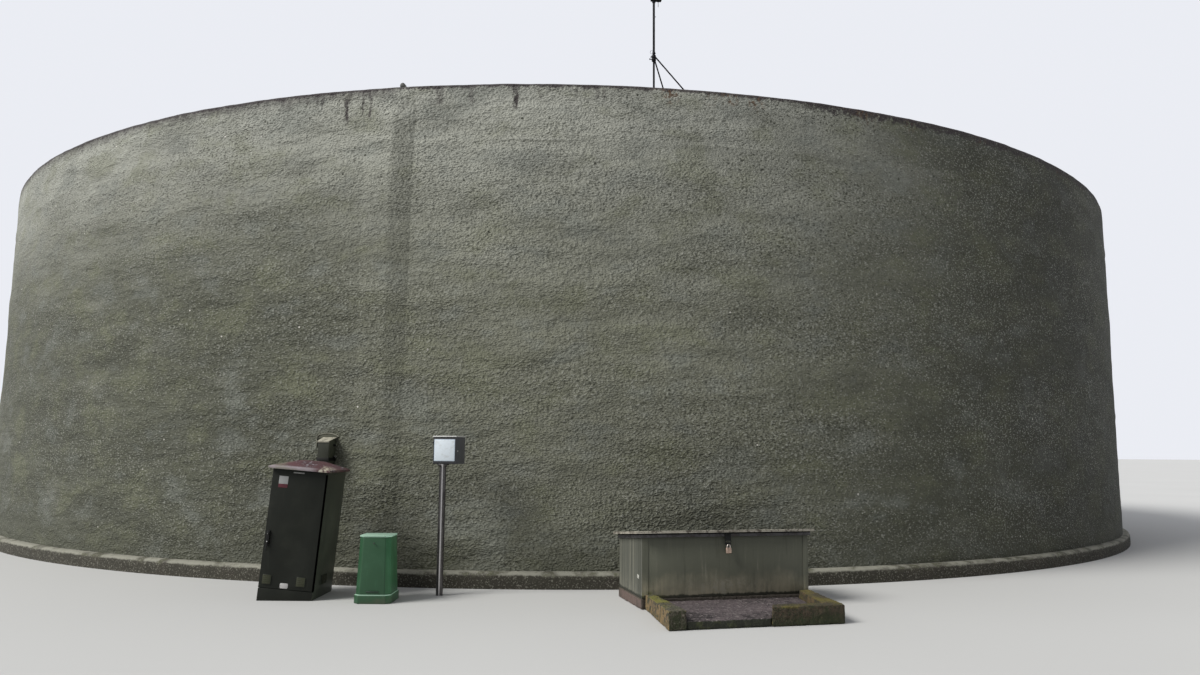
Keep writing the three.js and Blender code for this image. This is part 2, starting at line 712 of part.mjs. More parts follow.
// A shallow hipped lid: a lip all round and four slopes up to a short ridge.
function addCabinetLid(frame) {
  const { width, depth, height } = CABINET;
  const x = width / 2 + CABINET_LID.overhangSide;
  const y0 = -CABINET_LID.overhangFront;
  const y1 = depth + CABINET_LID.overhangRear;
  const foot = height + GAP;
  const eaves = [[-x, y0], [x, y0], [x, y1], [-x, y1]].map(([u, v]) => new THREE.Vector2(u, v));
  const middle = (y0 + y1) / 2;
  const ridge = eaves.map(
    ({ x: u, y: v }) => new THREE.Vector2(u * CABINET_LID.ridge, middle + (v - middle) * CABINET_LID.ridge),
  );
  const lip = prism(eaves, foot, foot + CABINET_LID.lip);
  const slopes = loft(eaves, foot + CABINET_LID.lip, ridge, foot + CABINET_LID.lip + CABINET_LID.rise);
  addNode(frame, "cabinet_lid", join(lip, slopes), FINISHES.cabinetLid);
}

// The sampling point: a box with a door and a thin roof on a steel post

function addSamplingPoint() {
  const frame = addFrame(SAMPLING.x, SAMPLING.y, SAMPLING.turn);
  const { postRadius, flangeRadius, flangeThickness, boxFoot } = SAMPLING;
  const flangeTop = boxFoot - GAP;
  const post = rod([0, 0, 0], [0, 0, flangeTop], postRadius, 24);
  const flange = rod([0, 0, flangeTop - flangeThickness], [0, 0, flangeTop], flangeRadius, 24);
  addNode(frame, "sampling_post", join(post, flange), FINISHES.stainless);
  addSamplingBox(frame);
}

function addSamplingBox(frame) {
  const { boxWidth, boxDepth, boxFoot, boxTop, shell, doorThickness, doorClear } = SAMPLING;
  const x0 = SAMPLING.shiftX - boxWidth / 2;
  const x1 = x0 + boxWidth;
  const y0 = SAMPLING.shiftY - boxDepth / 2;
  const y1 = y0 + boxDepth;
  const bodyFront = y0 + doorThickness + GAP;
  const outer = block([x0, bodyFront, boxFoot], [x1, y1, boxTop]);
  const room = block([x0 + shell, y0 - 5, boxFoot + shell], [x1 - shell, y1 - shell, boxTop - shell]);
  addNode(frame, "sampling_box", cut(outer, room), FINISHES.darkSteel);
  const door = block([x0, y0, boxFoot + doorClear], [x1, y0 + doorThickness, boxTop - doorClear]);
  addNode(frame, "sampling_door", door, FINISHES.darkSteel);
  const over = SAMPLING.roofOverhang;
  const roof = block(
    [x0 - over, y0 - over, boxTop + GAP], [x1 + over, y1 + over, boxTop + SAMPLING.roofThickness],
  );
  addNode(frame, "sampling_roof", roof, FINISHES.stainless);
}

// The service pillar: a skirt, a tapering body and a flat cap, with its front corners cut off

function pillarOutline(width, depth, middle, chamfer) {
  const x = width / 2;
  const y0 = middle - depth / 2;
  const y1 = middle + depth / 2;
  return [
    [-x, y0 + chamfer], [chamfer - x, y0], [x - chamfer, y0], [x, y0 + chamfer], [x, y1], [-x, y1],
  ].map(([u, v]) => new THREE.Vector2(u, v));
}

function addPillar() {
  const frame = addFrame(PILLAR.x, PILLAR.y, PILLAR.turn);
  const middle = PILLAR.footDepth / 2;
  const { chamfer, skirtProud } = PILLAR;
  const skirt = pillarOutline(PILLAR.footWidth + skirtProud, PILLAR.footDepth + skirtProud, middle, chamfer);
  addNode(frame, "pillar_skirt", prism(skirt, 0, PILLAR.footTop), FINISHES.pillarGreen);
  const lower = pillarOutline(PILLAR.shoulderWidth, PILLAR.shoulderDepth, middle, chamfer);
  const upper = pillarOutline(PILLAR.headWidth, PILLAR.headDepth, middle, chamfer);
  const body = loft(lower, PILLAR.footTop + GAP, upper, PILLAR.bodyTop);
  addNode(frame, "pillar_body", body, FINISHES.pillarGreen);
  const cap = pillarOutline(PILLAR.headWidth + skirtProud, PILLAR.headDepth + skirtProud, middle, chamfer);
  const capFoot = PILLAR.bodyTop + GAP;
  addNode(frame, "pillar_cap", prism(cap, capFoot, capFoot + PILLAR.cap), FINISHES.pillarCap);
}

addFooting();
addFloor();
addWall();
addRingBeam();
addDome();
addButtress();
addRimFitting();
addMast();
addBraces();
addWallBox();
addChamber();
addCabinet();
addSamplingPoint();
addPillar();

export default tank;
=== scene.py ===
"""Looks of a round ground-level concrete water tank with its valve chamber and service items."""

import logging
import math
from dataclasses import dataclass
from enum import Enum
from typing import Any, Callable, Optional, Sequence, Union

import bmesh
import bpy
import numpy as np
from mathutils import Matrix, Vector


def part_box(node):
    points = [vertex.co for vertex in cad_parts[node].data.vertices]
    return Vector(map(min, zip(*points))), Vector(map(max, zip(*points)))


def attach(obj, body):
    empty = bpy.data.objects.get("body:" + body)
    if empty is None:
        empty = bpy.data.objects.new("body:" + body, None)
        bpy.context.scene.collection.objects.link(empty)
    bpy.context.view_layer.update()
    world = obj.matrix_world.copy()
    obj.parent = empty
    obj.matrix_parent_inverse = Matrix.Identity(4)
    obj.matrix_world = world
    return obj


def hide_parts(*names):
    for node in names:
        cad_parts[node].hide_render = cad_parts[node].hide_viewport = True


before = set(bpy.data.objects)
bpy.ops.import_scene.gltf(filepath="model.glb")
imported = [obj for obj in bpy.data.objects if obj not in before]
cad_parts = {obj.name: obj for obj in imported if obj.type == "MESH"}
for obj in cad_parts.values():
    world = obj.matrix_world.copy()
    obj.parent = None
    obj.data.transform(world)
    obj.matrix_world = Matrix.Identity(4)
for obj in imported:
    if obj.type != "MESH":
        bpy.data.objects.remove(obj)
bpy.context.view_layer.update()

LOG = logging.getLogger("water_tank")
TANK = "tank"
GAP = 0.0003

Colour = tuple[float, float, float]
Point = Sequence[float]
Place = Callable[[float, float, float], Point]


class Channel:
    """A shader socket, so that masks and values are written as plain expressions."""

    def __init__(self, graph: "Graph", socket: bpy.types.NodeSocket) -> None:
        """Keeps the graph that the socket belongs to.

        Args:
            graph: The graph that makes further nodes.
            socket: The output socket that is wrapped.
        """
        self.graph = graph
        self.socket = socket

    def _math(self, operation: str, first: "Number", second: "Number", clamp: bool = False) -> "Channel":
        """Adds one Math node.

        Args:
            operation: The node's operation.
            first: The left value.
            second: The right value.
            clamp: Whether the result is kept between 0 and 1.

        Returns:
            The node's result.
        """
        settings = {"operation": operation, "use_clamp": clamp}
        return self.graph.node("ShaderNodeMath", settings, {0: first, 1: second})

    def __add__(self, other: "Number") -> "Channel":
        """Adds a value."""
        return self._math("ADD", self, other)

    def __radd__(self, other: float) -> "Channel":
        """Adds this to a number."""
        return self._math("ADD", other, self)

    def __sub__(self, other: "Number") -> "Channel":
        """Takes a value away."""
        return self._math("SUBTRACT", self, other)

    def __rsub__(self, other: float) -> "Channel":
        """Takes this away from a number."""
        return self._math("SUBTRACT", other, self)

    def __mul__(self, other: "Number") -> "Channel":
        """Multiplies by a value."""
        return self._math("MULTIPLY", self, other)

    def __rmul__(self, other: float) -> "Channel":
        """Multiplies a number by this."""
        return self._math("MULTIPLY", other, self)

    def most(self, other: "Number") -> "Channel":
        """Gives the larger of two values."""
        return self._math("MAXIMUM", self, other)

    def __abs__(self) -> "Channel":
        """Gives the distance from 0."""
        return self._math("ABSOLUTE", self, 0.0)

    def clipped(self) -> "Channel":
        """Keeps the value between 0 and 1."""
        return self._math("ADD", self, 0.0, clamp=True)

    def over(self, tone: Any, amount: "Number") -> "Channel":
        """Lays a tone over this colour, as strongly as the mask says."""
        return self.graph.blend(self, tone, amount)

    def shaded(self, amount: "Number") -> "Channel":
        """Makes this colour lighter or darker by a factor."""
        return self.graph.node("ShaderNodeVectorMath", {"operation": "SCALE"}, {0: self, 3: amount})

    def rise(self, low: float, high: float) -> "Channel":
        """Turns the value into a mask that goes smoothly from 0 at low to 1 at high.

        Args:
            low: Where the mask is 0.
            high: Where the mask is 1. It may lie below low.

        Returns:
            The mask.
        """
        ends = (low, high, 0.0, 1.0) if low < high else (high, low, 1.0, 0.0)
        inputs = {0: self, **dict(enumerate(ends, 1))}
        return self.graph.node("ShaderNodeMapRange", {"interpolation_type": "SMOOTHSTEP"}, inputs)


Number = Union[float, Channel]


class Graph:
    """The nodes of one material, or of the sky."""

    def __init__(self, owner: Union[bpy.types.Material, bpy.types.World], coordinate: int = 3) -> None:
        """Starts with an empty node tree.

        Args:
            owner: The material or world that is filled.
            coordinate: Which coordinates the patterns use: 3 for the piece's own, 0 for a world's direction.
        """
        self.owner = owner
        owner.use_nodes = True
        self.tree = owner.node_tree
        self.tree.nodes.clear()
        self.coords = self.node("ShaderNodeTexCoord", output=coordinate)

    def node(
        self,
        kind: str,
        settings: Optional[dict[str, Any]] = None,
        inputs: Optional[dict[Union[int, str], Any]] = None,
        output: int = 0,
    ) -> Channel:
        """Makes one node.

        Args:
            kind: The node's type.
            settings: Properties that are set before the sockets.
            inputs: Values or channels by socket.
            output: Which output is returned.

        Returns:
            The chosen output.
        """
        made = self.tree.nodes.new(kind)
        for key, value in (settings or {}).items():
            setattr(made, key, value)
        for key, value in (inputs or {}).items():
            self.feed(made.inputs[key], value)
        return Channel(self, made.outputs[output])

    def feed(self, socket: bpy.types.NodeSocket, value: Any) -> None:
        """Links or sets one input socket.

        Args:
            socket: The input.
            value: A channel, a number, a vector or a colour.
        """
        if isinstance(value, Channel):
            self.tree.links.new(value.socket, socket)
        elif socket.type == "RGBA":
            socket.default_value = (*value, 1.0)
        else:
            socket.default_value = value

    def stretched(self, stretch: Point, shift: float = 0.0) -> Channel:
        """Gives the piece's own coordinates, stretched and shifted.

        Args:
            stretch: A factor for each axis.
            shift: Added to all three, so that two patterns differ.

        Returns:
            The vector.
        """
        scaled = self.node("ShaderNodeVectorMath", {"operation": "MULTIPLY"}, {0: self.coords, 1: stretch})
        return self.node("ShaderNodeVectorMath", {"operation": "ADD"}, {0: scaled, 1: (shift, shift, shift)})

    def noise(
        self,
        size: float,
        detail: float = 3.0,
        roughness: float = 0.55,
        stretch: Point = (1.0, 1.0, 1.0),
        shift: float = 0.0,
        warp: float = 0.0,
    ) -> Channel:
        """Gives soft noise between about 0 and 1.

        Args:
            size: The size of its largest spots, in metres.
            detail: How many finer layers it has.
            roughness: How strong the finer layers are.
            stretch: Factors on the axes: below 1 draws the spots out.
            shift: Moves the pattern.
            warp: How far the pattern is distorted.

        Returns:
            The noise.
        """
        vector = self.stretched(stretch, shift)
        look = {"Detail": detail, "Roughness": roughness, "Distortion": warp}
        return self.node("ShaderNodeTexNoise", inputs={"Vector": vector, "Scale": 1.0 / size, **look})

    def cells(self, size: float, shift: float = 0.0) -> Channel:
        """Gives the distance to the nearest of many scattered points, in cells.

        Args:
            size: The size of a cell, in metres.
            shift: Moves the pattern.

        Returns:
            The distance, from 0 at a point.
        """
        vector = self.stretched((1.0, 1.0, 1.0), shift)
        return self.node("ShaderNodeTexVoronoi", inputs={"Vector": vector, "Scale": 1.0 / size})

    def axis(self, index: int) -> Channel:
        """Gives one of the piece's own coordinates, in metres."""
        return self.node("ShaderNodeSeparateXYZ", inputs={0: self.coords}, output=index)

    def azimuth(self) -> Channel:
        """Gives the angle about the tank's axis from the front towards +X, in degrees."""
        settings = {"operation": "ARCTAN2"}
        return self.node("ShaderNodeMath", settings, {0: self.axis(0), 1: 0.0 - self.axis(1)}) * math.degrees(1.0)

    def facing(self, index: int) -> Channel:
        """Gives how far the surface faces along an axis, from -1 to 1."""
        normal = self.node("ShaderNodeNewGeometry", output=1)
        return self.node("ShaderNodeSeparateXYZ", inputs={0: normal}, output=index)

    def blend(self, first: Any, second: Any, amount: Number) -> Channel:
        """Mixes two colours.

        Args:
            first: The colour where the amount is 0.
            second: The colour where the amount is 1.
            amount: The mask.

        Returns:
            The mixed colour.
        """
        settings = {"data_type": "RGBA", "clamp_factor": True}
        return self.node("ShaderNodeMix", settings, {0: amount, 6: first, 7: second}, output=2)

    def bump(self, height: Channel, distance: float, under: Optional[Channel] = None) -> Channel:
        """Makes a normal from a height.

        Args:
            height: The height, from 0 to 1.
            distance: The height of 1, in metres.
            under: A coarser bump's normal.

        Returns:
            The normal.
        """
        inputs: dict[Union[int, str], Any] = {"Height": height, "Distance": distance, "Strength": 1.0}
        if under is not None:
            inputs["Normal"] = under
        return self.node("ShaderNodeBump", inputs=inputs)

    def surface(self, colour: Any, roughness: Number, **sockets: Any) -> bpy.types.Material:
        """Closes the graph with a Principled shader.

        Args:
            colour: The base colour.
            roughness: The roughness.
            sockets: More of the shader's sockets, with underscores for spaces.

        Returns:
            The finished material.
        """
        inputs = {"Base Color": colour, "Roughness": roughness}
        inputs.update({key.replace("_", " "): value for key, value in sockets.items()})
        shader = self.node("ShaderNodeBsdfPrincipled", inputs=inputs)
        self.close(shader, "ShaderNodeOutputMaterial")
        return self.owner

    def close(self, shader: Channel, output: str) -> None:
        """Links a shader to a new output node of the given type."""
        ending = self.tree.nodes.new(output)
        self.tree.links.new(shader.socket, ending.inputs[0])


class Finish:
    """A finish, whose material is made once and then shared."""

    _made: dict[str, bpy.types.Material] = {}

    def material(self) -> bpy.types.Material:
        """Gives the finish's material."""
        key = str(self)
        if key not in Finish._made:
            Finish._made[key] = self.paint(Graph(bpy.data.materials.new(type(self).__name__)))
        return Finish._made[key]

    def paint(self, graph: Graph) -> bpy.types.Material:
        """Fills a new graph with the finish."""
        raise NotImplementedError


@dataclass(frozen=True)
class Stain:
    """One mark that has run down from the rim: where it starts, and how long and wide it is."""

    azimuth: float
    length: float
    width: float
    strength: float = 0.8


RIM_STAINS = (
    Stain(-18.24, 0.16, 0.26, 0.4), Stain(-16.7, 0.12, 0.05, 0.5), Stain(-16.02, 0.16, 0.05, 0.55),
    Stain(-15.62, 0.24, 0.04, 0.6), Stain(-13.96, 0.44, 0.06, 1.0), Stain(-13.8, 0.16, 0.05, 0.6),
    Stain(-12.93, 0.32, 0.05, 0.75), Stain(-12.44, 0.4, 0.055, 0.85), Stain(-8.07, 0.22, 0.12, 0.6),
    Stain(-6.13, 0.22, 0.1, 0.6), Stain(-3.45, 0.3, 0.08, 1.0), Stain(-1.95, 0.16, 0.04, 0.4),
    Stain(0.17, 0.14, 0.05, 0.35), Stain(1.48, 0.12, 0.07, 0.5), Stain(1.9, 0.12, 0.06, 0.5),
)


@dataclass(frozen=True)
class SprayedConcrete(Finish):
    """Rough sprayed concrete under old grey-green paint, stained from the rim down, with painted light and shade:
    lighter high up, darker low down and towards the sides, darker on the buttress flank, and lit and shaded on its
    grain, ripples and joint ridge.
    """

    paint_tone: Colour = (0.168, 0.171, 0.13)
    bleached: Colour = (0.35, 0.356, 0.314)
    deep: Colour = (0.07, 0.073, 0.05)
    mould: Colour = (0.15, 0.158, 0.09)
    cool: Colour = (0.165, 0.178, 0.162)
    pit_and_hollow_shade: Colour = (0.042, 0.044, 0.03)
    grime: Colour = (0.042, 0.035, 0.034)
    edge_grime: Colour = (0.036, 0.028, 0.03)
    speck: Colour = (0.62, 0.6, 0.55)
    lichen: Colour = (0.11, 0.062, 0.032)
    radius: float = 12.85
    rim_top: float = 6.63
    foot: float = 0.21
    lip: float = 5.85
    arris: float = -10.95
    flank: float = -9.6

    def rim_marks(self, graph: Graph, colour: Channel, height: Channel, azimuth: Channel) -> Channel:
        """Adds the marks under the rim: dark runs, the dirty edge and brown lichen.

        Args:
            graph: The graph.
            colour: The paint's colour.
            height: The height above the ground.
            azimuth: The angle about the tank.

        Returns:
            The stained colour.
        """
        ragged = graph.noise(0.045, 3.0, 0.65, (1.0, 1.0, 0.7), shift=19.0)
        wander = graph.noise(0.12, 3.0, 0.65, (1.0, 1.0, 0.8), shift=29.0)
        runs = graph.noise(0.09, 3.0, 0.6, (1.0, 1.0, 0.2), shift=17.0)
        reach = graph.noise(1.1, 3.0, 0.6, (1.0, 1.0, 0.01), shift=23.0)
        drop = height - self.rim_top + reach.rise(0.45, 0.72) * 0.34 + ragged * 0.12
        washed = runs.rise(0.5, 0.64) * drop.rise(0.04, 0.3) * ragged.rise(0.34, 0.56)
        colour = colour.over(self.grime, washed * 0.45)
        metres = math.radians(1.0) * self.radius
        for stain in RIM_STAINS:
            sideways = abs((azimuth - stain.azimuth) * metres + (wander - 0.5) * 0.13)
            core = sideways.rise(stain.width * 0.6, stain.width * 0.2)
            end = self.rim_top - stain.length
            tail = (height + ragged * 0.16).rise(end, end + stain.length * 0.3)
            tail = tail * height.rise(self.rim_top + stain.length * 0.5, end + stain.length * 0.3)
            colour = colour.over(self.grime, core * tail * ragged.rise(0.3, 0.54) * stain.strength)
        dirty = (height + wander * 0.24).rise(self.rim_top - 0.02, self.rim_top + 0.14)
        colour = colour.over(self.edge_grime, dirty * ragged.rise(0.42, 0.58) * 0.6)
        upright = graph.facing(2).rise(0.95, 0.6)
        deeper = (height + wander * 0.3).rise(self.rim_top - 0.06, self.rim_top + 0.1) * azimuth.rise(-10.4, -11.0)
        colour = colour.over(self.edge_grime, deeper * upright * 0.55)
        edge = (height + wander * 0.11 + ragged * 0.03).rise(self.rim_top, self.rim_top + 0.035)
        colour = colour.over(self.edge_grime, edge * (upright * 0.65 + 0.35) * 0.92)
        right_rim = azimuth.rise(13.2, 15.6) * azimuth.rise(75.0, 50.0)
        crust = (height + wander * 0.26).rise(self.rim_top - 0.02, self.rim_top + 0.04)
        colour = colour.over(self.edge_grime, crust * ragged.rise(0.34, 0.5) * right_rim * 0.9)
        spots = graph.noise(0.06, 3.0, 0.7, shift=31.0).rise(0.5, 0.6)
        near_rim = (height + wander * 0.2).rise(self.rim_top - 0.2, self.rim_top + 0.02)
        patches = graph.noise(1.3, 2.0, 0.5, (1.0, 1.0, 0.4), shift=37.0).rise(0.52, 0.58) * 0.7
        for middle in (5.95, 9.66, 11.4):
            patches = patches.most(abs(azimuth - middle).rise(0.75, 0.25))
        return colour.over(self.lichen, spots * near_rim * patches * azimuth.rise(3.0, 5.0) * 0.9)

    def paint(self, graph: Graph) -> bpy.types.Material:
        """Fills a new graph with the finish.

        Args:
            graph: The graph.

        Returns:
            The material.
        """
        height, azimuth = graph.axis(2), graph.azimuth()
        lumps = graph.noise(0.032, 2.0, 0.4, (1.0, 1.0, 1.6))
        pebbles = graph.noise(0.075, 2.0, 0.6, (1.0, 1.0, 1.4), shift=3.0)
        zones = graph.noise(0.9, 3.0, 0.55, (0.35, 0.35, 1.3), shift=51.0)
        clouds = graph.noise(1.1, 3.0, 0.55, (0.7, 0.7, 1.2), shift=7.0)
        bands = graph.noise(0.8, 3.0, 0.55, (0.25, 0.25, 1.4), shift=11.0)
        ripple = graph.noise(0.6, 3.0, 0.55, (0.4, 0.4, 1.4), shift=57.0)
        swell = graph.noise(0.75, 4.0, 0.6, (0.5, 0.5, 1.35), shift=43.0)
        tint = graph.noise(0.62, 4.0, 0.6, (0.8, 0.8, 1.3), shift=41.0)
        grit = lumps + (0.5 - lumps) * (zones.rise(0.62, 0.34) * 0.35)
        left_side, right_side = azimuth.rise(-150.0, -100.0), azimuth.rise(150.0, 100.0)
        # The paint lightens high up: partly real fading, partly painted light standing in for the sky that reaches
        # the upper wall.
        up_high = height.rise(self.foot + 1.6, self.rim_top + 0.2)
        fade_and_sky_light = up_high * up_high * 0.95 + (bands - 0.5) * 0.42 + (clouds - 0.5) * 0.5
        colour = graph.blend(self.paint_tone, self.bleached, fade_and_sky_light.clipped())
        # Painted shade: darker towards the right, darker low on the left, darker towards the foot, with broad
        # darker horizontal bands.
        painted_side_shade = azimuth.rise(5.0, 31.0) * right_side * 0.95
        painted_side_shade = painted_side_shade + azimuth.rise(-3.0, -20.0) * left_side * up_high.rise(1.1, 0.2) * 0.9
        painted_low_shade = height.rise(self.foot + 3.0, self.foot) * 0.35
        colour = colour.over(self.deep, (painted_side_shade + painted_low_shade + (bands - 0.5) * 0.4).clipped())
        colour = colour.over(self.mould, tint.rise(0.5, 0.66) * 0.38)
        colour = colour.over(self.cool, tint.rise(0.48, 0.34) * 0.4)
        colour = colour.over(self.deep, swell.rise(0.5, 0.3) * 0.34)
        colour = colour.over(self.bleached, swell.rise(0.54, 0.74) * 0.18)
        # Painted light and shade along the broad ripples of the relief, and painted shade deepening towards the
        # far right.
        colour = colour.shaded((ripple - 0.5) * 0.7 + 1.0 - azimuth.rise(20.0, 42.0) * right_side * 0.46)
        # Painted shade on the buttress flank, which faces away from the key light; strongest high up.
        edges = (swell - 0.5) * 2.4
        along = azimuth + edges * 0.5
        flank = along.rise(self.arris - 0.05, self.arris + 0.15) * along.rise(self.flank + 0.1, self.flank - 0.1)
        flank = flank * (height + edges * 0.1).rise(6.25, 6.05) * (height.rise(4.6, 5.6) * 0.16 + 0.1)
        colour = colour.over(self.deep, flank)
        # Painted shade in the hollows of the grain and painted light on its lumps, stronger to the right; the
        # colour also rises and falls with the pebbles' relief.
        right = azimuth.rise(0.0, 14.0) * right_side
        colour = colour.over(self.pit_and_hollow_shade, grit.rise(0.46, 0.3) * (right * 0.2 + 0.72))
        colour = colour.over(self.bleached, grit.rise(0.54, 0.68) * (right * 0.22 + 0.45))
        colour = colour.shaded((pebbles - 0.5) * 0.5 + 1.0)
        colour = colour.over(self.pit_and_hollow_shade, graph.cells(0.3, shift=2.0).rise(0.07, 0.045) * 0.9)
        colour = colour.over(self.speck, graph.cells(0.5, shift=6.0).rise(0.035, 0.022) * 0.8)
        # A painted highlight along the top of the ridge at the beam's joint and a painted shadow under it.
        line = height - self.lip + (zones - 0.5) * 0.1 + (swell - 0.5) * 0.12 + (lumps - 0.5) * 0.03
        shown = zones.rise(0.44, 0.54) * azimuth.rise(-4.8, -4.0) * azimuth.rise(13.0, 12.0)
        colour = colour.over(self.bleached, abs(line - 0.012).rise(0.02, 0.005) * shown * 0.5)
        colour = colour.over(self.pit_and_hollow_shade, abs(line + 0.012).rise(0.018, 0.004) * shown * 0.45)
        foot_damp = height.rise(self.foot + 0.8, self.foot) * (bands.rise(0.3, 0.6) * 0.6 + 0.4)
        colour = colour.over(self.deep, foot_damp * 0.5)
        colour = self.rim_marks(graph, colour, height, azimuth)
        normal = graph.bump(grit, 0.034, graph.bump(pebbles, 0.03, graph.bump(ripple, 0.14)))
        return graph.surface(colour, 0.84 + (clouds - 0.5) * 0.16, Normal=normal)


@dataclass(frozen=True)
class RoofConcrete(Finish):
    """Float-finished roof concrete with dark clouds, and moss towards its edge."""

    pale: Colour = (0.26, 0.262, 0.235)
    dark: Colour = (0.115, 0.115, 0.09)
    moss: Colour = (0.075, 0.08, 0.035)

    def paint(self, graph: Graph) -> bpy.types.Material:
        """Fills a new graph with the finish.

        Args:
            graph: The graph.

        Returns:
            The material.
        """
        clouds = graph.noise(2.4, 5.0, 0.62, shift=2.0)
        mottle = graph.noise(0.28, 4.0, 0.6, shift=5.0)
        grain = graph.noise(0.02, 3.0, 0.6)
        colour = graph.blend(self.pale, self.dark, clouds.rise(0.35, 0.68) * 0.8)
        colour = colour.over(self.dark, mottle.rise(0.5, 0.75) * 0.5)
        low = graph.axis(2).rise(6.9, 6.6)
        colour = colour.over(self.moss, low * mottle.rise(0.42, 0.62) * 0.75)
        speck = graph.noise(0.035, 2.0, 0.5, shift=9.0).rise(0.62, 0.7)
        colour = colour.over(self.pale, speck * 0.5)
        normal = graph.bump(grain, 0.002, graph.bump(mottle, 0.006))
        return graph.surface(colour, 0.88 + (mottle - 0.5) * 0.14, Normal=normal)


@dataclass(frozen=True)
class AgedConcrete(Finish):
    """Bare old concrete, paler on faces that look up and darker on its other faces, with moss on its edges."""

    pale: Colour = (0.25, 0.243, 0.2)
    face: Colour = (0.105, 0.098, 0.075)
    moss: Colour = (0.12, 0.115, 0.03)
    stain: Colour = (0.04, 0.034, 0.026)
    moss_share: float = 0.5
    pale_share: float = 0.9
    front_darkening: float = 0.0

    def paint(self, graph: Graph) -> bpy.types.Material:
        """Fills a new graph with the finish.

        Args:
            graph: The graph.

        Returns:
            The material.
        """
        up = graph.facing(2)
        broad = graph.noise(0.32, 4.0, 0.6, shift=1.0)
        middle = graph.noise(0.07, 4.0, 0.65, shift=4.0)
        fine = graph.noise(0.012, 3.0, 0.6, shift=6.0)
        top = (up + (middle - 0.5) * 0.9 + (broad - 0.5) * 0.6).rise(0.15, 0.6)
        colour = graph.blend(self.face, self.pale, top * self.pale_share)
        colour = colour.over(self.stain, broad.rise(0.46, 0.64) * 0.8)
        growth = (middle * 0.6 + broad * 0.5).rise(0.62 - 0.2 * self.moss_share, 0.76 - 0.2 * self.moss_share)
        colour = colour.over(self.moss, growth * up.rise(-0.2, 0.7) * self.moss_share * 1.5)
        specks = graph.noise(0.02, 2.0, 0.5, shift=12.0).rise(0.56, 0.66)
        colour = colour.over(self.pale, specks * 0.5)
        # Faces that look to the front are darkened.
        if self.front_darkening:
            colour = colour.over(self.stain, graph.facing(1).rise(-0.5, -0.8) * self.front_darkening)
        normal = graph.bump(fine, 0.006, graph.bump(middle, 0.02))
        return graph.surface(colour, 0.9 + (fine - 0.5) * 0.12, Normal=normal)


@dataclass(frozen=True)
class KerbConcrete(Finish):
    """An old kerb, brown-black with damp, greyer on top, with moss and lichen in patches."""

    base: Colour = (0.05, 0.038, 0.025)
    worn: Colour = (0.16, 0.145, 0.115)
    moss: Colour = (0.19, 0.18, 0.03)
    dark_moss: Colour = (0.022, 0.03, 0.009)
    lichen: Colour = (0.34, 0.22, 0.06)
    top: float = 0.185
    lichen_share: float = 0.2
    moss_share: float = 0.6

    def paint(self, graph: Graph) -> bpy.types.Material:
        """Fills a new graph with the finish.

        Args:
            graph: The graph.

        Returns:
            The material.
        """
        up, height = graph.facing(2), graph.axis(2)
        broad = graph.noise(0.26, 4.0, 0.6, shift=1.0)
        middle = graph.noise(0.07, 4.0, 0.7, shift=4.0)
        fine = graph.noise(0.014, 3.0, 0.65, shift=6.0)
        patch = graph.noise(0.42, 3.0, 0.6, shift=15.0)
        grain, level = middle * 0.4 + fine * 0.6, up.rise(0.5, 0.85)
        colour = graph.blend(self.base, self.worn, grain.rise(0.46, 0.6) * 0.6)
        colour = colour.over(self.dark_moss, grain.rise(0.5, 0.43) * 0.92)
        colour = colour.over(self.worn, up.rise(0.3, 0.8) * (broad * 0.5 + fine * 0.5).rise(0.4, 0.6) * 0.6)
        colour = colour.over(self.dark_moss, broad.rise(0.48, 0.6) * (1.0 - level * 0.4) * 0.8)
        colour = colour.over(self.dark_moss, height.rise(0.12, 0.03) * middle.rise(0.36, 0.52) * 0.8)
        outward = graph.facing(0).rise(-0.35, -0.8)
        rust = (middle * 0.7 + broad * 0.3).rise(0.44, 0.56)
        colour = colour.over(self.lichen, outward * rust * self.lichen_share)
        brow = (height + (middle - 0.5) * 0.08).rise(self.top - 0.022, self.top)
        growth = (fine * 0.4 + patch * 0.7).rise(0.5, 0.6)
        colour = colour.over(self.moss, brow.most(level) * growth * self.moss_share)
        specks = graph.noise(0.02, 2.0, 0.5, shift=12.0).rise(0.6, 0.68)
        colour = colour.over(self.worn, specks * 0.5)
        normal = graph.bump(fine, 0.014, graph.bump(middle, 0.03))
        return graph.surface(colour, 0.92 + (fine - 0.5) * 0.1, Normal=normal)


@dataclass(frozen=True)
class SlabConcrete(Finish):
    """A trowelled slab, purple-brown with damp and dust, and dark moss on its front face."""

    dry: Colour = (0.088, 0.07, 0.073)
    damp: Colour = (0.016, 0.012, 0.013)
    dust: Colour = (0.3, 0.26, 0.25)
    moss: Colour = (0.013, 0.016, 0.007)
    green: Colour = (0.036, 0.044, 0.012)

    def paint(self, graph: Graph) -> bpy.types.Material:
        """Fills a new graph with the finish.

        Args:
            graph: The graph.

        Returns:
            The material.
        """
        clouds = graph.noise(0.5, 4.0, 0.6, shift=2.0)
        mottle = graph.noise(0.08, 4.0, 0.65, shift=8.0)
        fine = graph.noise(0.042, 3.0, 0.7)
        colour = graph.blend(self.dry, self.damp, (clouds * 0.4 + fine * 0.6).rise(0.47, 0.54))
        colour = colour.over(self.dust, (mottle * 0.3 + fine * 0.7).rise(0.53, 0.59) * 0.6)
        edge = (graph.facing(2) + (mottle - 0.5) * 0.8).rise(0.85, 0.5)
        growth = graph.blend(self.moss, self.green, mottle.rise(0.5, 0.62) * 0.8)
        colour = colour.over(growth, edge * 0.95)
        normal = graph.bump(fine, 0.012, graph.bump(mottle, 0.012))
        return graph.surface(colour, 0.72 + (clouds - 0.5) * 0.3, Normal=normal)


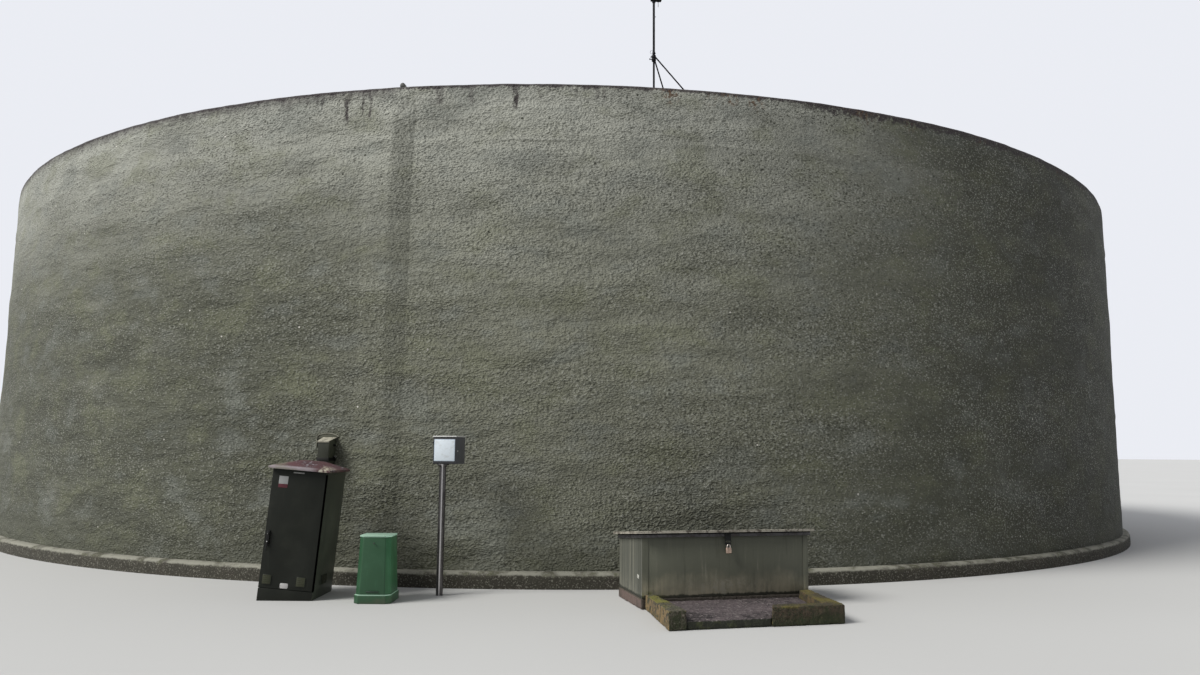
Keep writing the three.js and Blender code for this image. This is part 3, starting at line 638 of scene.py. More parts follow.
@dataclass(frozen=True)
class PaintedPanel(Finish):
    """Green-grey paint, brown and scuffed low down, with moss at the foot, boards on the left side and painted
    shade under the lid.
    """

    paint_tone: Colour = (0.103, 0.108, 0.079)
    side_tone: Colour = (0.09, 0.093, 0.076)
    mark: Colour = (0.25, 0.24, 0.19)
    brown: Colour = (0.285, 0.26, 0.185)
    grime: Colour = (0.016, 0.018, 0.011)
    moss: Colour = (0.13, 0.14, 0.035)
    foot: float = 0.12
    top: float = 0.81
    bloom_from: float = 1.45
    bloom_to: float = 2.05
    roughness: float = 0.6

    def paint(self, graph: Graph) -> bpy.types.Material:
        """Fills a new graph with the finish.

        Args:
            graph: The graph.

        Returns:
            The material.
        """
        height, along = graph.axis(2), graph.axis(0)
        clouds = graph.noise(0.35, 4.0, 0.6, shift=3.0)
        smears = graph.noise(0.09, 5.0, 0.76, (1.0, 1.0, 0.7), shift=13.0, warp=0.5)
        specks = graph.noise(0.016, 3.0, 0.7, shift=27.0)
        runs = graph.noise(0.045, 4.0, 0.6, (1.0, 1.0, 0.09), shift=9.0)
        fine = graph.noise(0.008, 2.0, 0.5, (1.0, 1.0, 0.6))
        planks = graph.noise(0.075, 3.0, 0.6, (1.0, 1.0, 0.02), shift=21.0)
        left = graph.facing(0).rise(-0.6, -0.9)
        face = graph.blend(self.paint_tone, self.mark, (clouds - 0.42).clipped() * 0.25)
        side = graph.blend(self.side_tone, self.mark, planks.rise(0.52, 0.66) * 0.5)
        side = side.over(self.grime, planks.rise(0.46, 0.34) * 0.5)
        colour = graph.blend(face, side, left)
        low = (height + (clouds - 0.5) * 0.4 + (smears - 0.5) * 0.2).rise(self.foot + 0.3, self.foot + 0.04)
        dusty = (smears * 0.5 + runs * 0.5).rise(0.4, 0.6) * (1.0 - left * 0.8)
        colour = colour.over(self.brown, low * (dusty * 0.5 + (1.0 - left) * 0.5))
        colour = colour.over(self.mark, runs.rise(0.55, 0.7) * 0.14)
        colour = colour.over(self.grime, runs.rise(0.45, 0.3) * 0.22)
        window = along.rise(self.bloom_from, self.bloom_from + 0.2)
        window = window * along.rise(self.bloom_to, self.bloom_to - 0.15)
        faint = along.rise(1.0, 1.5) * along.rise(2.6, 2.1)
        patch = (smears * 0.65 + specks * 0.35).rise(0.49, 0.57)
        patch = patch * (height + (clouds - 0.5) * 0.16).rise(self.foot + 0.22, self.foot + 0.12)
        colour = colour.over(self.mark, patch * (window * 0.6 + faint * 0.3 + 0.12))
        scratch = (height + (clouds - 0.5) * 0.5).rise(self.foot + 0.42, self.foot + 0.28) * runs.rise(0.63, 0.7)
        colour = colour.over(self.mark, scratch * height.rise(self.foot + 0.06, self.foot + 0.16) * 0.3)
        # Painted shade: the panel darkens just under the lid's overhang.
        under_lid_shade = (height + (clouds - 0.5) * 0.06).rise(self.top - 0.1, self.top - 0.02)
        colour = colour.over(self.grime, under_lid_shade * 0.4)
        damp = (height + (smears - 0.5) * 0.06).rise(self.foot + 0.036, self.foot + 0.018)
        colour = colour.over(self.grime, damp * 0.92)
        mossy = along.rise(1.15, 0.85) * smears.rise(0.4, 0.55) * height.rise(self.foot + 0.09, self.foot + 0.05)
        colour = colour.over(self.moss, mossy * (1.0 - left) * 0.7)
        normal = graph.bump(fine, 0.0006, graph.bump(clouds, 0.003))
        return graph.surface(colour, self.roughness + (clouds - 0.5) * 0.2, Normal=normal)


@dataclass(frozen=True)
class WeatheredSheet(Finish):
    """A pale painted metal sheet with brown grime that has run along its edge."""

    pale: Colour = (0.4, 0.375, 0.315)
    grime: Colour = (0.08, 0.066, 0.052)
    rust: Colour = (0.12, 0.06, 0.035)
    share: float = 0.5

    def paint(self, graph: Graph) -> bpy.types.Material:
        """Fills a new graph with the finish.

        Args:
            graph: The graph.

        Returns:
            The material.
        """
        clouds = graph.noise(0.22, 5.0, 0.65, shift=4.0)
        streak = graph.noise(0.07, 4.0, 0.7, shift=8.0)
        fine = graph.noise(0.006, 2.0, 0.5)
        colour = graph.blend(self.pale, self.grime, clouds.rise(0.42, 0.66) * self.share)
        colour = colour.over(self.grime, streak.rise(0.5, 0.58) * self.share * 1.7)
        colour = colour.over(self.rust, (clouds * streak).rise(0.34, 0.42) * 0.6)
        normal = graph.bump(fine, 0.0004, graph.bump(clouds, 0.001))
        return graph.surface(colour, 0.55 + (clouds - 0.5) * 0.3, Normal=normal)


@dataclass(frozen=True)
class DarkPaint(Finish):
    """Semi-matt dark paint on steel, chalked and scuffed, with painted light that brightens its right-facing side.
    """

    tone: Colour = (0.03, 0.031, 0.025)
    chalk: Colour = (0.06, 0.062, 0.05)
    roughness: float = 0.42
    chalk_share: float = 0.6
    # flank sets how much painted light brightens faces that look to the right; flank_fade lessens it higher up.
    flank: float = 1.0
    flank_fade: float = 0.0
    sheen: float = 0.5

    def paint(self, graph: Graph) -> bpy.types.Material:
        """Fills a new graph with the finish.

        Args:
            graph: The graph.

        Returns:
            The material.
        """
        clouds = graph.noise(0.4, 4.0, 0.6, shift=5.0)
        runs = graph.noise(0.05, 3.0, 0.6, (1.0, 1.0, 0.12), shift=9.0)
        peel = graph.noise(0.004, 2.0, 0.5)
        colour = graph.blend(self.tone, self.chalk, clouds.rise(0.42, 0.75) * self.chalk_share)
        colour = colour.over(self.chalk, runs.rise(0.58, 0.75) * self.chalk_share * 0.6)
        # Painted light: faces that look to the right are made lighter, less so higher up.
        if self.flank != 1.0:
            lit = graph.facing(0).rise(0.4, 0.8) * (1.0 - graph.axis(2).rise(0.8, 1.4) * self.flank_fade)
            colour = colour.shaded(lit * (self.flank - 1.0) + 1.0)
        normal = graph.bump(peel, 0.0003)
        roughness = self.roughness + (clouds - 0.5) * 0.25
        return graph.surface(colour, roughness, Normal=normal, Specular_IOR_Level=self.sheen)


@dataclass(frozen=True)
class FadedLidPaint(Finish):
    """Red-brown paint on a service cabinet's lid, bleached and flaking to pale grey."""

    red: Colour = (0.1, 0.042, 0.048)
    dark: Colour = (0.035, 0.022, 0.024)
    bare: Colour = (0.4, 0.36, 0.4)
    lip_tone: Colour = (0.27, 0.235, 0.25)
    cream: Colour = (0.5, 0.46, 0.36)
    lichen: Colour = (0.16, 0.16, 0.11)
    worn_to: float = -2.98
    chipped: float = -2.79
    lean: Point = (0.0793, 0.9968, 0.2245)
    lip_height: float = 1.474

    def paint(self, graph: Graph) -> bpy.types.Material:
        """Fills a new graph with the finish.

        Args:
            graph: The graph.

        Returns:
            The material.
        """
        clouds = graph.noise(0.16, 5.0, 0.65, shift=3.0)
        flakes = graph.noise(0.035, 4.0, 0.7, shift=7.0)
        fine = graph.noise(0.004, 2.0, 0.5)
        along = graph.axis(0) + (clouds - 0.5) * 0.2
        colour = graph.blend(self.red, self.dark, (clouds * 0.6 + flakes * 0.4).rise(0.44, 0.58) * 0.75)
        colour = colour.over(self.bare, (flakes * 0.6 + clouds * 0.4).rise(0.54, 0.6) * 0.75)
        sine, cosine, offset = self.lean
        level = graph.axis(2) * cosine + graph.axis(0) * sine + offset
        front = graph.facing(1).rise(0.0, -0.2)
        lip = (level + (flakes - 0.5) * 0.03).rise(self.lip_height + 0.012, self.lip_height) * front
        colour = colour.over(self.lip_tone, lip * along.rise(self.worn_to + 0.12, self.worn_to) * 0.85)
        corner = abs(along - self.chipped).rise(0.085, 0.03) * front
        colour = colour.over(self.cream, corner * flakes.rise(0.48, 0.53) * 0.95)
        left = graph.facing(0).rise(-0.02, -0.1) * clouds.rise(0.36, 0.5)
        colour = colour.over(self.lichen, left * 0.6)
        normal = graph.bump(fine, 0.0004, graph.bump(flakes, 0.0008))
        return graph.surface(colour, 0.66 + (clouds - 0.5) * 0.3, Normal=normal)


@dataclass(frozen=True)
class BareMetal(Finish):
    """Bare metal, brushed along one direction and dulled by weather, with an optional painted glint."""

    tone: Colour = (0.42, 0.41, 0.4)
    dull: Colour = (0.16, 0.155, 0.15)
    roughness: float = 0.34
    brush: Point = (1.0, 1.0, 0.03)
    glint: Optional[float] = None
    glint_tone: Colour = (0.62, 0.6, 0.6)

    def paint(self, graph: Graph) -> bpy.types.Material:
        """Fills a new graph with the finish.

        Args:
            graph: The graph.

        Returns:
            The material.
        """
        brushed = graph.noise(0.003, 2.0, 0.6, self.brush)
        clouds = graph.noise(0.06, 4.0, 0.6, (1.0, 1.0, 0.4), shift=5.0)
        colour = graph.blend(self.tone, self.dull, clouds.rise(0.45, 0.75) * 0.8)
        # A painted reflection: a bright upright streak where the surface faces a given way along X.
        if self.glint is not None:
            painted_glint = abs(graph.facing(0) - self.glint).rise(0.26, 0.05) * (clouds * 0.5 + 0.6)
            colour = colour.over(self.glint_tone, painted_glint)
        rough = self.roughness + (brushed - 0.5) * 0.12 + (clouds - 0.5) * 0.3
        return graph.surface(colour, rough, Metallic=0.9, Normal=graph.bump(brushed, 0.0002))


@dataclass(frozen=True)
class MouldedPlastic(Finish):
    """Moulded plastic that the sun has bleached where it faces up, with painted light brightening its right-facing
    side.
    """

    tone: Colour = (0.016, 0.066, 0.027)
    bleached: Colour = (0.038, 0.117, 0.06)
    roughness: float = 0.42
    dust: Colour = (0.07, 0.07, 0.045)
    flank: float = 2.8

    def paint(self, graph: Graph) -> bpy.types.Material:
        """Fills a new graph with the finish.

        Args:
            graph: The graph.

        Returns:
            The material.
        """
        clouds = graph.noise(0.25, 4.0, 0.6, shift=6.0)
        runs = graph.noise(0.04, 3.0, 0.6, (1.0, 1.0, 0.1), shift=2.0)
        fine = graph.noise(0.002, 2.0, 0.5)
        sunlit = graph.facing(2).rise(0.2, 0.9) * 0.5 + clouds.rise(0.45, 0.8) * 0.4
        colour = graph.blend(self.tone, self.bleached, sunlit.clipped())
        colour = colour.over(self.bleached, runs.rise(0.55, 0.75) * 0.3)
        # Painted light on faces that look to the right.
        colour = colour.shaded(graph.facing(0).rise(0.4, 0.8) * (self.flank - 1.0) + 1.0)
        low = graph.axis(2).rise(0.14, 0.02)
        colour = colour.over(self.dust, low * clouds.rise(0.35, 0.6) * 0.6)
        normal = graph.bump(fine, 0.0002)
        return graph.surface(colour, self.roughness + (clouds - 0.5) * 0.15, Normal=normal)


@dataclass(frozen=True)
class BlankPanel(Finish):
    """A plain enamelled panel, faintly dirty."""

    tone: Colour = (0.62, 0.66, 0.7)
    dirt: Colour = (0.35, 0.34, 0.3)
    roughness: float = 0.35

    def paint(self, graph: Graph) -> bpy.types.Material:
        """Fills a new graph with the finish.

        Args:
            graph: The graph.

        Returns:
            The material.
        """
        clouds = graph.noise(0.06, 4.0, 0.6, shift=6.0)
        fine = graph.noise(0.003, 2.0, 0.5)
        colour = graph.blend(self.tone, self.dirt, clouds.rise(0.5, 0.8) * 0.5)
        return graph.surface(colour, self.roughness + (clouds - 0.5) * 0.2, Normal=graph.bump(fine, 0.0001))


class Slot(Enum):
    """The record's material slots."""

    WALL = "sprayed_wall"
    ROOF = "roof_concrete"
    FOOTING = "footing_concrete"
    MOSSY = "mossy_concrete"
    RENDER = "painted_render"
    BOX = "painted_steel"
    LID = "lid_sheet"
    CABINET = "cabinet_paint"
    CABINET_LID = "cabinet_lid_paint"
    DARK = "dark_steel"
    BRASS = "padlock_brass"
    STAINLESS = "stainless_steel"
    GREEN = "green_plastic"
    PALE_GREEN = "pale_green_plastic"


HASH_PRIMES = np.array([73856093, 19349663, 83492791])
SEED_PRIME = 2654435761
MIX_PRIME = 1274126177
HASH_RANGE = 0xFFFFFF


def lattice_noise(points: np.ndarray, seed: int) -> np.ndarray:
    """Smooth value noise on a unit lattice, the same on every run.

    Args:
        points: An array of shape (..., 3), in lattice units.
        seed: Chooses the pattern.

    Returns:
        Values between -1 and 1, of shape (...).
    """
    cell = np.floor(points).astype(np.int64)
    part = points - cell
    part = part * part * (3.0 - 2.0 * part)
    total = np.zeros(points.shape[:-1])
    for corner in range(8):
        step = np.array([corner & 1, (corner >> 1) & 1, (corner >> 2) & 1])
        mixed = np.bitwise_xor.reduce((cell + step) * HASH_PRIMES, axis=-1) ^ seed * SEED_PRIME
        mixed = (mixed ^ (mixed >> 13)) * MIX_PRIME
        mixed = (mixed ^ (mixed >> 16)) & HASH_RANGE
        weight = np.prod(np.where(step == 1, part, 1.0 - part), axis=-1)
        total += weight * (mixed / float(HASH_RANGE) * 2.0 - 1.0)
    return total


def object_of(name: str, points: np.ndarray, faces: Sequence[Sequence[int]]) -> bpy.types.Object:
    """Makes a mesh object from points and faces, and links it to the scene.

    Args:
        name: The piece's name.
        points: An array of shape (n, 3), in metres.
        faces: Corner numbers of each face.

    Returns:
        The object.
    """
    used = np.unique(np.concatenate([np.asarray(face) for face in faces]))
    renumbered = np.zeros(len(points), dtype=np.int64)
    renumbered[used] = np.arange(len(used))
    mesh = bpy.data.meshes.new(name)
    mesh.from_pydata(np.asarray(points)[used].tolist(), [], [renumbered[list(face)].tolist() for face in faces])
    mesh.validate()
    made = bpy.data.objects.new(name, mesh)
    bpy.context.scene.collection.objects.link(made)
    return made


def smooth(piece: bpy.types.Object, angle: float) -> bpy.types.Object:
    """Shades a piece smoothly, apart from edges sharper than an angle in degrees."""
    piece.data.shade_smooth()
    piece.data.set_sharp_from_angle(angle=math.radians(angle))
    return piece


def settle(piece: bpy.types.Object, body: str, finish: Finish, replaces: Sequence[str] = ()) -> None:
    """Gives a piece its body and finish, and reports it.

    Args:
        piece: The piece.
        body: The body that it rides on.
        finish: The finish.
        replaces: CAD nodes that it stands for.
    """
    piece.data.materials.clear()
    piece.data.materials.append(finish.material())
    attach(piece, body)
    if replaces:
        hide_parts(*replaces)
    LOG.info("%s: %d faces on %s", piece.name, len(piece.data.polygons), body)


def dress_node(node: str, finish: Finish) -> None:
    """Gives a CAD node that stays its finish, through its object's own slots."""
    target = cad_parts[node]
    if not target.material_slots:
        target.data.materials.append(None)
    for material_slot in target.material_slots:
        material_slot.link = "OBJECT"
        material_slot.material = finish.material()


@dataclass(frozen=True)
class Stand:
    """Where a sub-assembly stands: its place, its turn about the upright and its lean to the right."""

    x: float = 0.0
    y: float = 0.0
    z: float = 0.0
    turn: float = 0.0
    lean: float = 0.0

    def matrix(self) -> Matrix:
        """Gives the sub-assembly's own frame."""
        place = Matrix.Translation((self.x, self.y, self.z))
        turned = Matrix.Rotation(math.radians(self.turn), 4, "Z")
        return place @ turned @ Matrix.Rotation(math.radians(self.lean), 4, "Y")


class Sketch:
    """One piece's mesh, drawn from bevelled solids in a sub-assembly's own frame."""

    def __init__(self) -> None:
        """Starts an empty mesh."""
        self.mesh = bmesh.new()

    def _bevel(self, verts: Sequence[bmesh.types.BMVert], width: float, segments: int) -> None:
        """Rounds the sharp edges between some points.

        Args:
            verts: The points.
            width: The bevel's width, in metres.
            segments: Steps across it.
        """
        if width <= 0.0:
            return
        chosen = set(verts)
        edges = [
            edge for edge in {e for v in verts for e in v.link_edges}
            if edge.verts[0] in chosen and edge.verts[1] in chosen
            and len(edge.link_faces) == 2 and edge.calc_face_angle() > math.radians(25)
        ]
        edges.sort(key=lambda edge: edge.calc_length())
        made = bmesh.ops.bevel(
            self.mesh, geom=edges, offset=width, segments=segments, profile=0.5, affect="EDGES", clamp_overlap=True
        )
        for face in made["faces"]:
            face.smooth = True

    def block(self, low: Point, high: Point, bevel: float = 0.001, segments: int = 2) -> "Sketch":
        """Adds a block between two corners.

        Args:
            low: The lowest corner.
            high: The highest corner.
            bevel: How far its edges are rounded.
            segments: Steps across the bevel.

        Returns:
            The sketch.
        """
        size = Vector(high) - Vector(low)
        middle = (Vector(high) + Vector(low)) / 2.0
        matrix = Matrix.Translation(middle) @ Matrix.Diagonal((*size, 1.0))
        made = bmesh.ops.create_cube(self.mesh, size=1.0, matrix=matrix)
        self._bevel(made["verts"], bevel, segments)
        return self

    def rod(
        self, start: Point, end: Point, radius: float, sides: int = 24, bevel: float = 0.0,
        far: Optional[float] = None,
    ) -> "Sketch":
        """Adds a round rod or cone between two points.

        Args:
            start: The middle of its first end.
            end: The middle of its other end.
            radius: The first end's radius.
            sides: Sides around it.
            bevel: How far its rims are rounded.
            far: The other end's radius, where it differs.

        Returns:
            The sketch.
        """
        first, last = Vector(start), Vector(end)
        span = last - first
        turn = Vector((0.0, 0.0, 1.0)).rotation_difference(span).to_matrix().to_4x4()
        matrix = Matrix.Translation((first + last) / 2.0) @ turn
        made = bmesh.ops.create_cone(
            self.mesh, cap_ends=True, segments=sides, radius1=radius,
            radius2=radius if far is None else far, depth=span.length, matrix=matrix,
        )
        if sides > 8:
            for face in {face for vert in made["verts"] for face in vert.link_faces}:
                face.smooth = len(face.verts) == 4
        self._bevel(made["verts"], bevel, 2)
        return self

    def prism(
        self, outline: Sequence[tuple[float, float]], low: float, high: float, bevel: float = 0.001
    ) -> "Sketch":
        """Adds an upright prism over an outline.

        Args:
            outline: Corners in X and Y.
            low: Its lower height.
            high: Its upper height.
            bevel: How far its edges are rounded.

        Returns:
            The sketch.
        """
        foot = [self.mesh.verts.new((x, y, low)) for x, y in outline]
        top = [self.mesh.verts.new((x, y, high)) for x, y in outline]
        faces = [self.mesh.faces.new(foot[::-1]), self.mesh.faces.new(top)]
        for index in range(len(outline)):
            after = (index + 1) % len(outline)
            faces.append(self.mesh.faces.new((foot[index], foot[after], top[after], top[index])))
        bmesh.ops.recalc_face_normals(self.mesh, faces=faces)
        self._bevel(foot + top, bevel, 2)
        return self

    def tube(self, route: Sequence[Point], radius: float, sides: int = 10) -> "Sketch":
        """Adds a tube along a route, closed at both ends.

        Args:
            route: Points along its middle.
            radius: Its radius.
            sides: Sides around it.

        Returns:
            The sketch.
        """
        points = [Vector(point) for point in route]
        rings = []
        side = Vector((0.0, 0.0, 1.0))
        for index, point in enumerate(points):
            before, after = points[max(index - 1, 0)], points[min(index + 1, len(points) - 1)]
            along = (after - before).normalized()
            if abs(side.dot(along)) > 0.95:
                side = Vector((1.0, 0.0, 0.0))
            side = (side - along * side.dot(along)).normalized()
            other = along.cross(side)
            angles = [2.0 * math.pi * step / sides for step in range(sides)]
            rings.append([
                self.mesh.verts.new(point + (side * math.cos(a) + other * math.sin(a)) * radius) for a in angles
            ])
        faces = [self.mesh.faces.new(rings[0][::-1]), self.mesh.faces.new(rings[-1])]
        for first, second in zip(rings, rings[1:]):
            for index in range(sides):
                after_index = (index + 1) % sides
                corners = (first[index], first[after_index], second[after_index], second[index])
                faces.append(self.mesh.faces.new(corners))
                faces[-1].smooth = True
        bmesh.ops.recalc_face_normals(self.mesh, faces=faces)
        return self

    def node(self, name: str, bevel: float, segments: int = 2) -> "Sketch":
        """Adds a copy of a CAD node, with its flat faces whole and its edges rounded.

        Args:
            name: The node.
            bevel: How far its edges are rounded.
            segments: Steps across the bevel.

        Returns:
            The sketch.
        """
        before = set(self.mesh.verts)
        self.mesh.from_mesh(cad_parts[name].data)
        new = [vert for vert in self.mesh.verts if vert not in before]
        bmesh.ops.remove_doubles(self.mesh, verts=new, dist=1e-5)
        new = [vert for vert in self.mesh.verts if vert not in before]
        edges = [edge for edge in self.mesh.edges if edge.verts[0] not in before]
        bmesh.ops.dissolve_limit(self.mesh, angle_limit=math.radians(0.6), verts=new, edges=edges)
        new = [vert for vert in self.mesh.verts if vert not in before]
        for face in {face for vert in new for face in vert.link_faces}:
            bends = [edge.calc_face_angle(0.0) for edge in face.edges]
            curved = any(math.radians(1) < bend < math.radians(28) for bend in bends)
            face.smooth = curved and face.calc_area() < 0.003
        self._bevel(new, bevel, segments)
        return self

    def place(self, name: str, matrix: Matrix = Matrix.Identity(4), angle: float = 50.0) -> bpy.types.Object:
        """Ends the sketch as an object in the part's frame.

        Args:
            name: The piece's name.
            matrix: The sub-assembly's own frame.
            angle: Edges sharper than this stay crisp, in degrees.

        Returns:
            The object.
        """
        mesh = bpy.data.meshes.new(name)
        self.mesh.to_mesh(mesh)
        self.mesh.free()
        mesh.transform(matrix)
        stale = mesh.attributes.get("custom_normal")
        if stale is not None:
            mesh.attributes.remove(stale)
        mesh.set_sharp_from_angle(angle=math.radians(angle))
        made = bpy.data.objects.new(name, mesh)
        bpy.context.scene.collection.objects.link(made)
        return made


def weathered(piece: bpy.types.Object, voxel: float, depth: float, size: float, seed: int) -> bpy.types.Object:
    """Remeshes a block evenly and roughens it, so that its edges look worn.

    Args:
        piece: The piece, which is changed.
        voxel: The new mesh's grid, in metres.
        depth: How far its points move, in metres.
        size: The size of the lumps, in metres.
        seed: Chooses the pattern.

    Returns:
        The piece.
    """
    remesh = piece.modifiers.new("even", "REMESH")
    remesh.mode = "VOXEL"
    remesh.voxel_size = voxel
    remesh.adaptivity = 0.0
    graph = bpy.context.evaluated_depsgraph_get()
    mesh = bpy.data.meshes.new_from_object(piece.evaluated_get(graph))
    piece.modifiers.clear()
    piece.data = mesh
    count = len(mesh.vertices)
    points = np.empty(count * 3)
    normals = np.empty(count * 3)
    mesh.vertices.foreach_get("co", points)
    mesh.vertex_normals.foreach_get("vector", normals)
    points, normals = points.reshape(-1, 3), normals.reshape(-1, 3)
    low, high = points.min(axis=0), points.max(axis=0)
    lumps = lattice_noise(points / size, seed) * 0.65 + lattice_noise(points * 2.3 / size, seed + 1) * 0.35
    corner = np.sum(np.abs(normals) > 0.25, axis=1)
    wear = np.where(corner > 1, np.abs(lattice_noise(points / (size * 1.7), seed + 2)), 0.0)
    moved = points + normals * (depth * (lumps - 0.35 - wear * 1.1))[:, None]
    moved = np.clip(moved, low, high)
    mesh.vertices.foreach_set("co", moved.ravel())
    mesh.update()
    return smooth(piece, 60.0)


@dataclass
class SprayedWall:
    """The round sprayed wall: its twelve segments, the beam that caps them and the buttress."""

    segments: int = 12
    columns: int = 1800
    start: float = -15.0
    rows: int = 126
    beam_rows: int = 17
    thickness: float = 0.3
    inset: float = 0.0015
    joint_height: float = 5.84
    ridges: tuple[tuple[float, float, float], ...] = ((5.84, 0.012, 0.04), (2.47, 0.009, 0.06))
    toe: float = -12.9
    toe_end: float = -12.0
    arris: float = -10.9
    flank_top: float = -9.5
    flank_foot: float = -9.7
    proud: float = 0.066
    fade_from: float = 6.05
    buttress_steps: tuple[int, int, int] = (26, 20, 144)
    lumps: tuple[tuple[float, float, float, int], ...] = (
        (1.9, 0.62, 0.015, 11), (0.8, 0.28, 0.0085, 12), (0.3, 0.16, 0.004, 13),
    )
    sunk: float = 0.006

    def __post_init__(self) -> None:
        """Reads the wall's sizes from the frame."""
        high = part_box("ring_beam")[1]
        self.radius = high.x
        self.top = high.z
        self.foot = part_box("wall_segment_01")[0].z
        self.finish = SprayedConcrete(rim_top=self.top, foot=self.foot)

    def relief(self, points: np.ndarray) -> np.ndarray:
        """Gives how far the sprayed face stands proud of the drum at each point.

        Args:
            points: Points on the drum, of shape (..., 3).

        Returns:
            The relief, in metres.
        """
        waves = sum(
            lattice_noise(points / np.array([wide, wide, high]), seed) * depth
            for wide, high, depth, seed in self.lumps
        )
        height = points[..., 2] + lattice_noise(points / np.array([1.6, 1.6, 50.0]), 15) * 0.03
        patchy = 0.6 + 0.5 * lattice_noise(points / np.array([1.7, 1.7, 9.0]), 16)
        ridges = sum(
            proud * np.exp(-(((height - level) / spread) ** 2)) * patchy for level, proud, spread in self.ridges
        )
        return waves + ridges - self.sunk

    def face(self, azimuth: np.ndarray, height: np.ndarray, extra: np.ndarray) -> np.ndarray:
        """Gives points on the sprayed face.

        Args:
            azimuth: Angles from the front towards +X, in degrees.
            height: Heights, of the same shape.
            extra: How much further out each point lies.

        Returns:
            Points of shape (..., 3).
        """
        angle = np.radians(azimuth)
        flat = self.radius - self.inset
        round_face = np.stack([flat * np.sin(angle), -flat * np.cos(angle), height], axis=-1)
        reach = flat + self.relief(round_face) + extra
        return np.stack([reach * np.sin(angle), -reach * np.cos(angle), height], axis=-1)

    def grid(self) -> tuple[np.ndarray, np.ndarray]:
        """Makes the whole outer face with its normals.

        Returns:
            Points and normals, each of shape (rows, columns, 3), from the foot to just under the rim.
        """
        wall = np.linspace(self.foot, self.joint_height, self.rows)
        beam = np.linspace(self.joint_height, self.top - 0.045, self.beam_rows)[1:]
        heights = np.concatenate([wall, beam])
        azimuths = self.start + np.arange(self.columns) * 360.0 / self.columns
        azimuth, height = np.meshgrid(azimuths, heights)
        points = self.face(azimuth, height, np.zeros_like(height))
        across = np.roll(points, -1, axis=1) - np.roll(points, 1, axis=1)
        upward = np.gradient(points, axis=0)
        normals = np.cross(across, upward)
        normals /= np.linalg.norm(normals, axis=-1, keepdims=True)
        return points, normals

    @staticmethod
    def shade(piece: bpy.types.Object, outer: int, normals: np.ndarray) -> None:
        """Sets the outer face's normals, so that no joint between two pieces shows.

        Args:
            piece: The piece.
            outer: How many of its first faces belong to the outer face.
            normals: Normals of its first points, of shape (n, 3).
        """
        mesh = piece.data
        mesh.shade_smooth()
        corner = np.empty(len(mesh.loops), dtype=np.int64)
        mesh.loops.foreach_get("vertex_index", corner)
        totals = np.empty(len(mesh.polygons), dtype=np.int64)
        mesh.polygons.foreach_get("loop_total", totals)
        flat = np.empty(len(mesh.polygons) * 3)
        mesh.polygons.foreach_get("normal", flat)
        per_corner = np.repeat(flat.reshape(-1, 3), totals, axis=0)
        reach = int(totals[:outer].sum())
        per_corner[:reach] = normals[corner[:reach]]
        mesh.normals_split_custom_set(per_corner.tolist())

    def build_segment(self, index: int, points: np.ndarray, normals: np.ndarray) -> None:
        """Makes one segment's piece.

        Args:
            index: Which segment, from 0.
            points: The whole outer face.
            normals: Its normals.
        """
        wide = self.columns // self.segments
        pick = (index * wide + np.arange(wide + 1)) % self.columns
        outer = points[: self.rows, pick]
        across = wide + 1
        base = outer[[0, -1]].copy()
        base[..., :2] *= (self.radius - self.thickness) / np.linalg.norm(base[..., :2], axis=-1, keepdims=True)
        face = np.arange(self.rows * across).reshape(self.rows, across)
        shown = quads(face)
        inner = 2 * face.size + np.arange(2 * across).reshape(2, across)
        mesh_points = np.concatenate([outer.reshape(-1, 3), outer.reshape(-1, 3), base.reshape(-1, 3)])
        piece = object_of(f"sprayed_face_{index + 1:02d}", mesh_points, shown + backing(face + face.size, inner))
        self.shade(piece, len(shown), normals[: self.rows, pick].reshape(-1, 3))
        settle(piece, TANK, self.finish, [f"wall_segment_{index + 1:02d}"])

    def build_beam(self, points: np.ndarray) -> None:
        """Makes the beam round the top, with its worn outer edge.

        Args:
            points: The whole outer face.
        """
        outer = points[self.rows - 1:]
        rim = outer[-1]
        reach = np.linalg.norm(rim[:, :2], axis=-1)
        spoke = rim[:, :2] / reach[:, None]
        inner = self.radius - self.thickness
        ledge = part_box("roof_dome")[0].z - GAP
        rough = lattice_noise(rim / 0.16, 21) * 0.003 + lattice_noise(rim / 0.06, 22) * 0.0015
        rings = [
            (reach - 0.004 + rough, self.top - 0.024 + rough * 0.3),
            (reach - 0.014 + rough, self.top - 0.0085 + rough * 0.5),
            (reach - 0.034, self.top - 0.0025 + rough * 0.5),
            (self.radius - 0.09, self.top - 0.003 + rough * 0.5),
            (self.radius - 0.19, self.top - 0.003 - rough * 0.5),
            (inner + 0.01, self.top - 0.002 + rough * 0.3),
            (inner, self.top - 0.012),
            (inner, ledge),
            (inner - 0.3, ledge),
            (inner - 0.3, ledge - 0.15),
            (inner, self.joint_height + GAP),
        ]
        level = np.ones_like(reach)
        layers = [outer.reshape(-1, 3)]
        for radius, height in rings:
            layers.append(np.column_stack([spoke * (radius * level)[:, None], height * level]))
        rows = len(outer) + len(rings)
        corner = np.arange(rows * self.columns).reshape(rows, self.columns)
        looped = np.concatenate([corner, corner[:, :1]], axis=1)
        faces = quads(looped) + quads(np.stack([looped[-1], looped[0]]))
        piece = smooth(object_of("ring_beam_face", np.concatenate(layers), faces), 50.0)
        settle(piece, TANK, self.finish, ["ring_beam"])

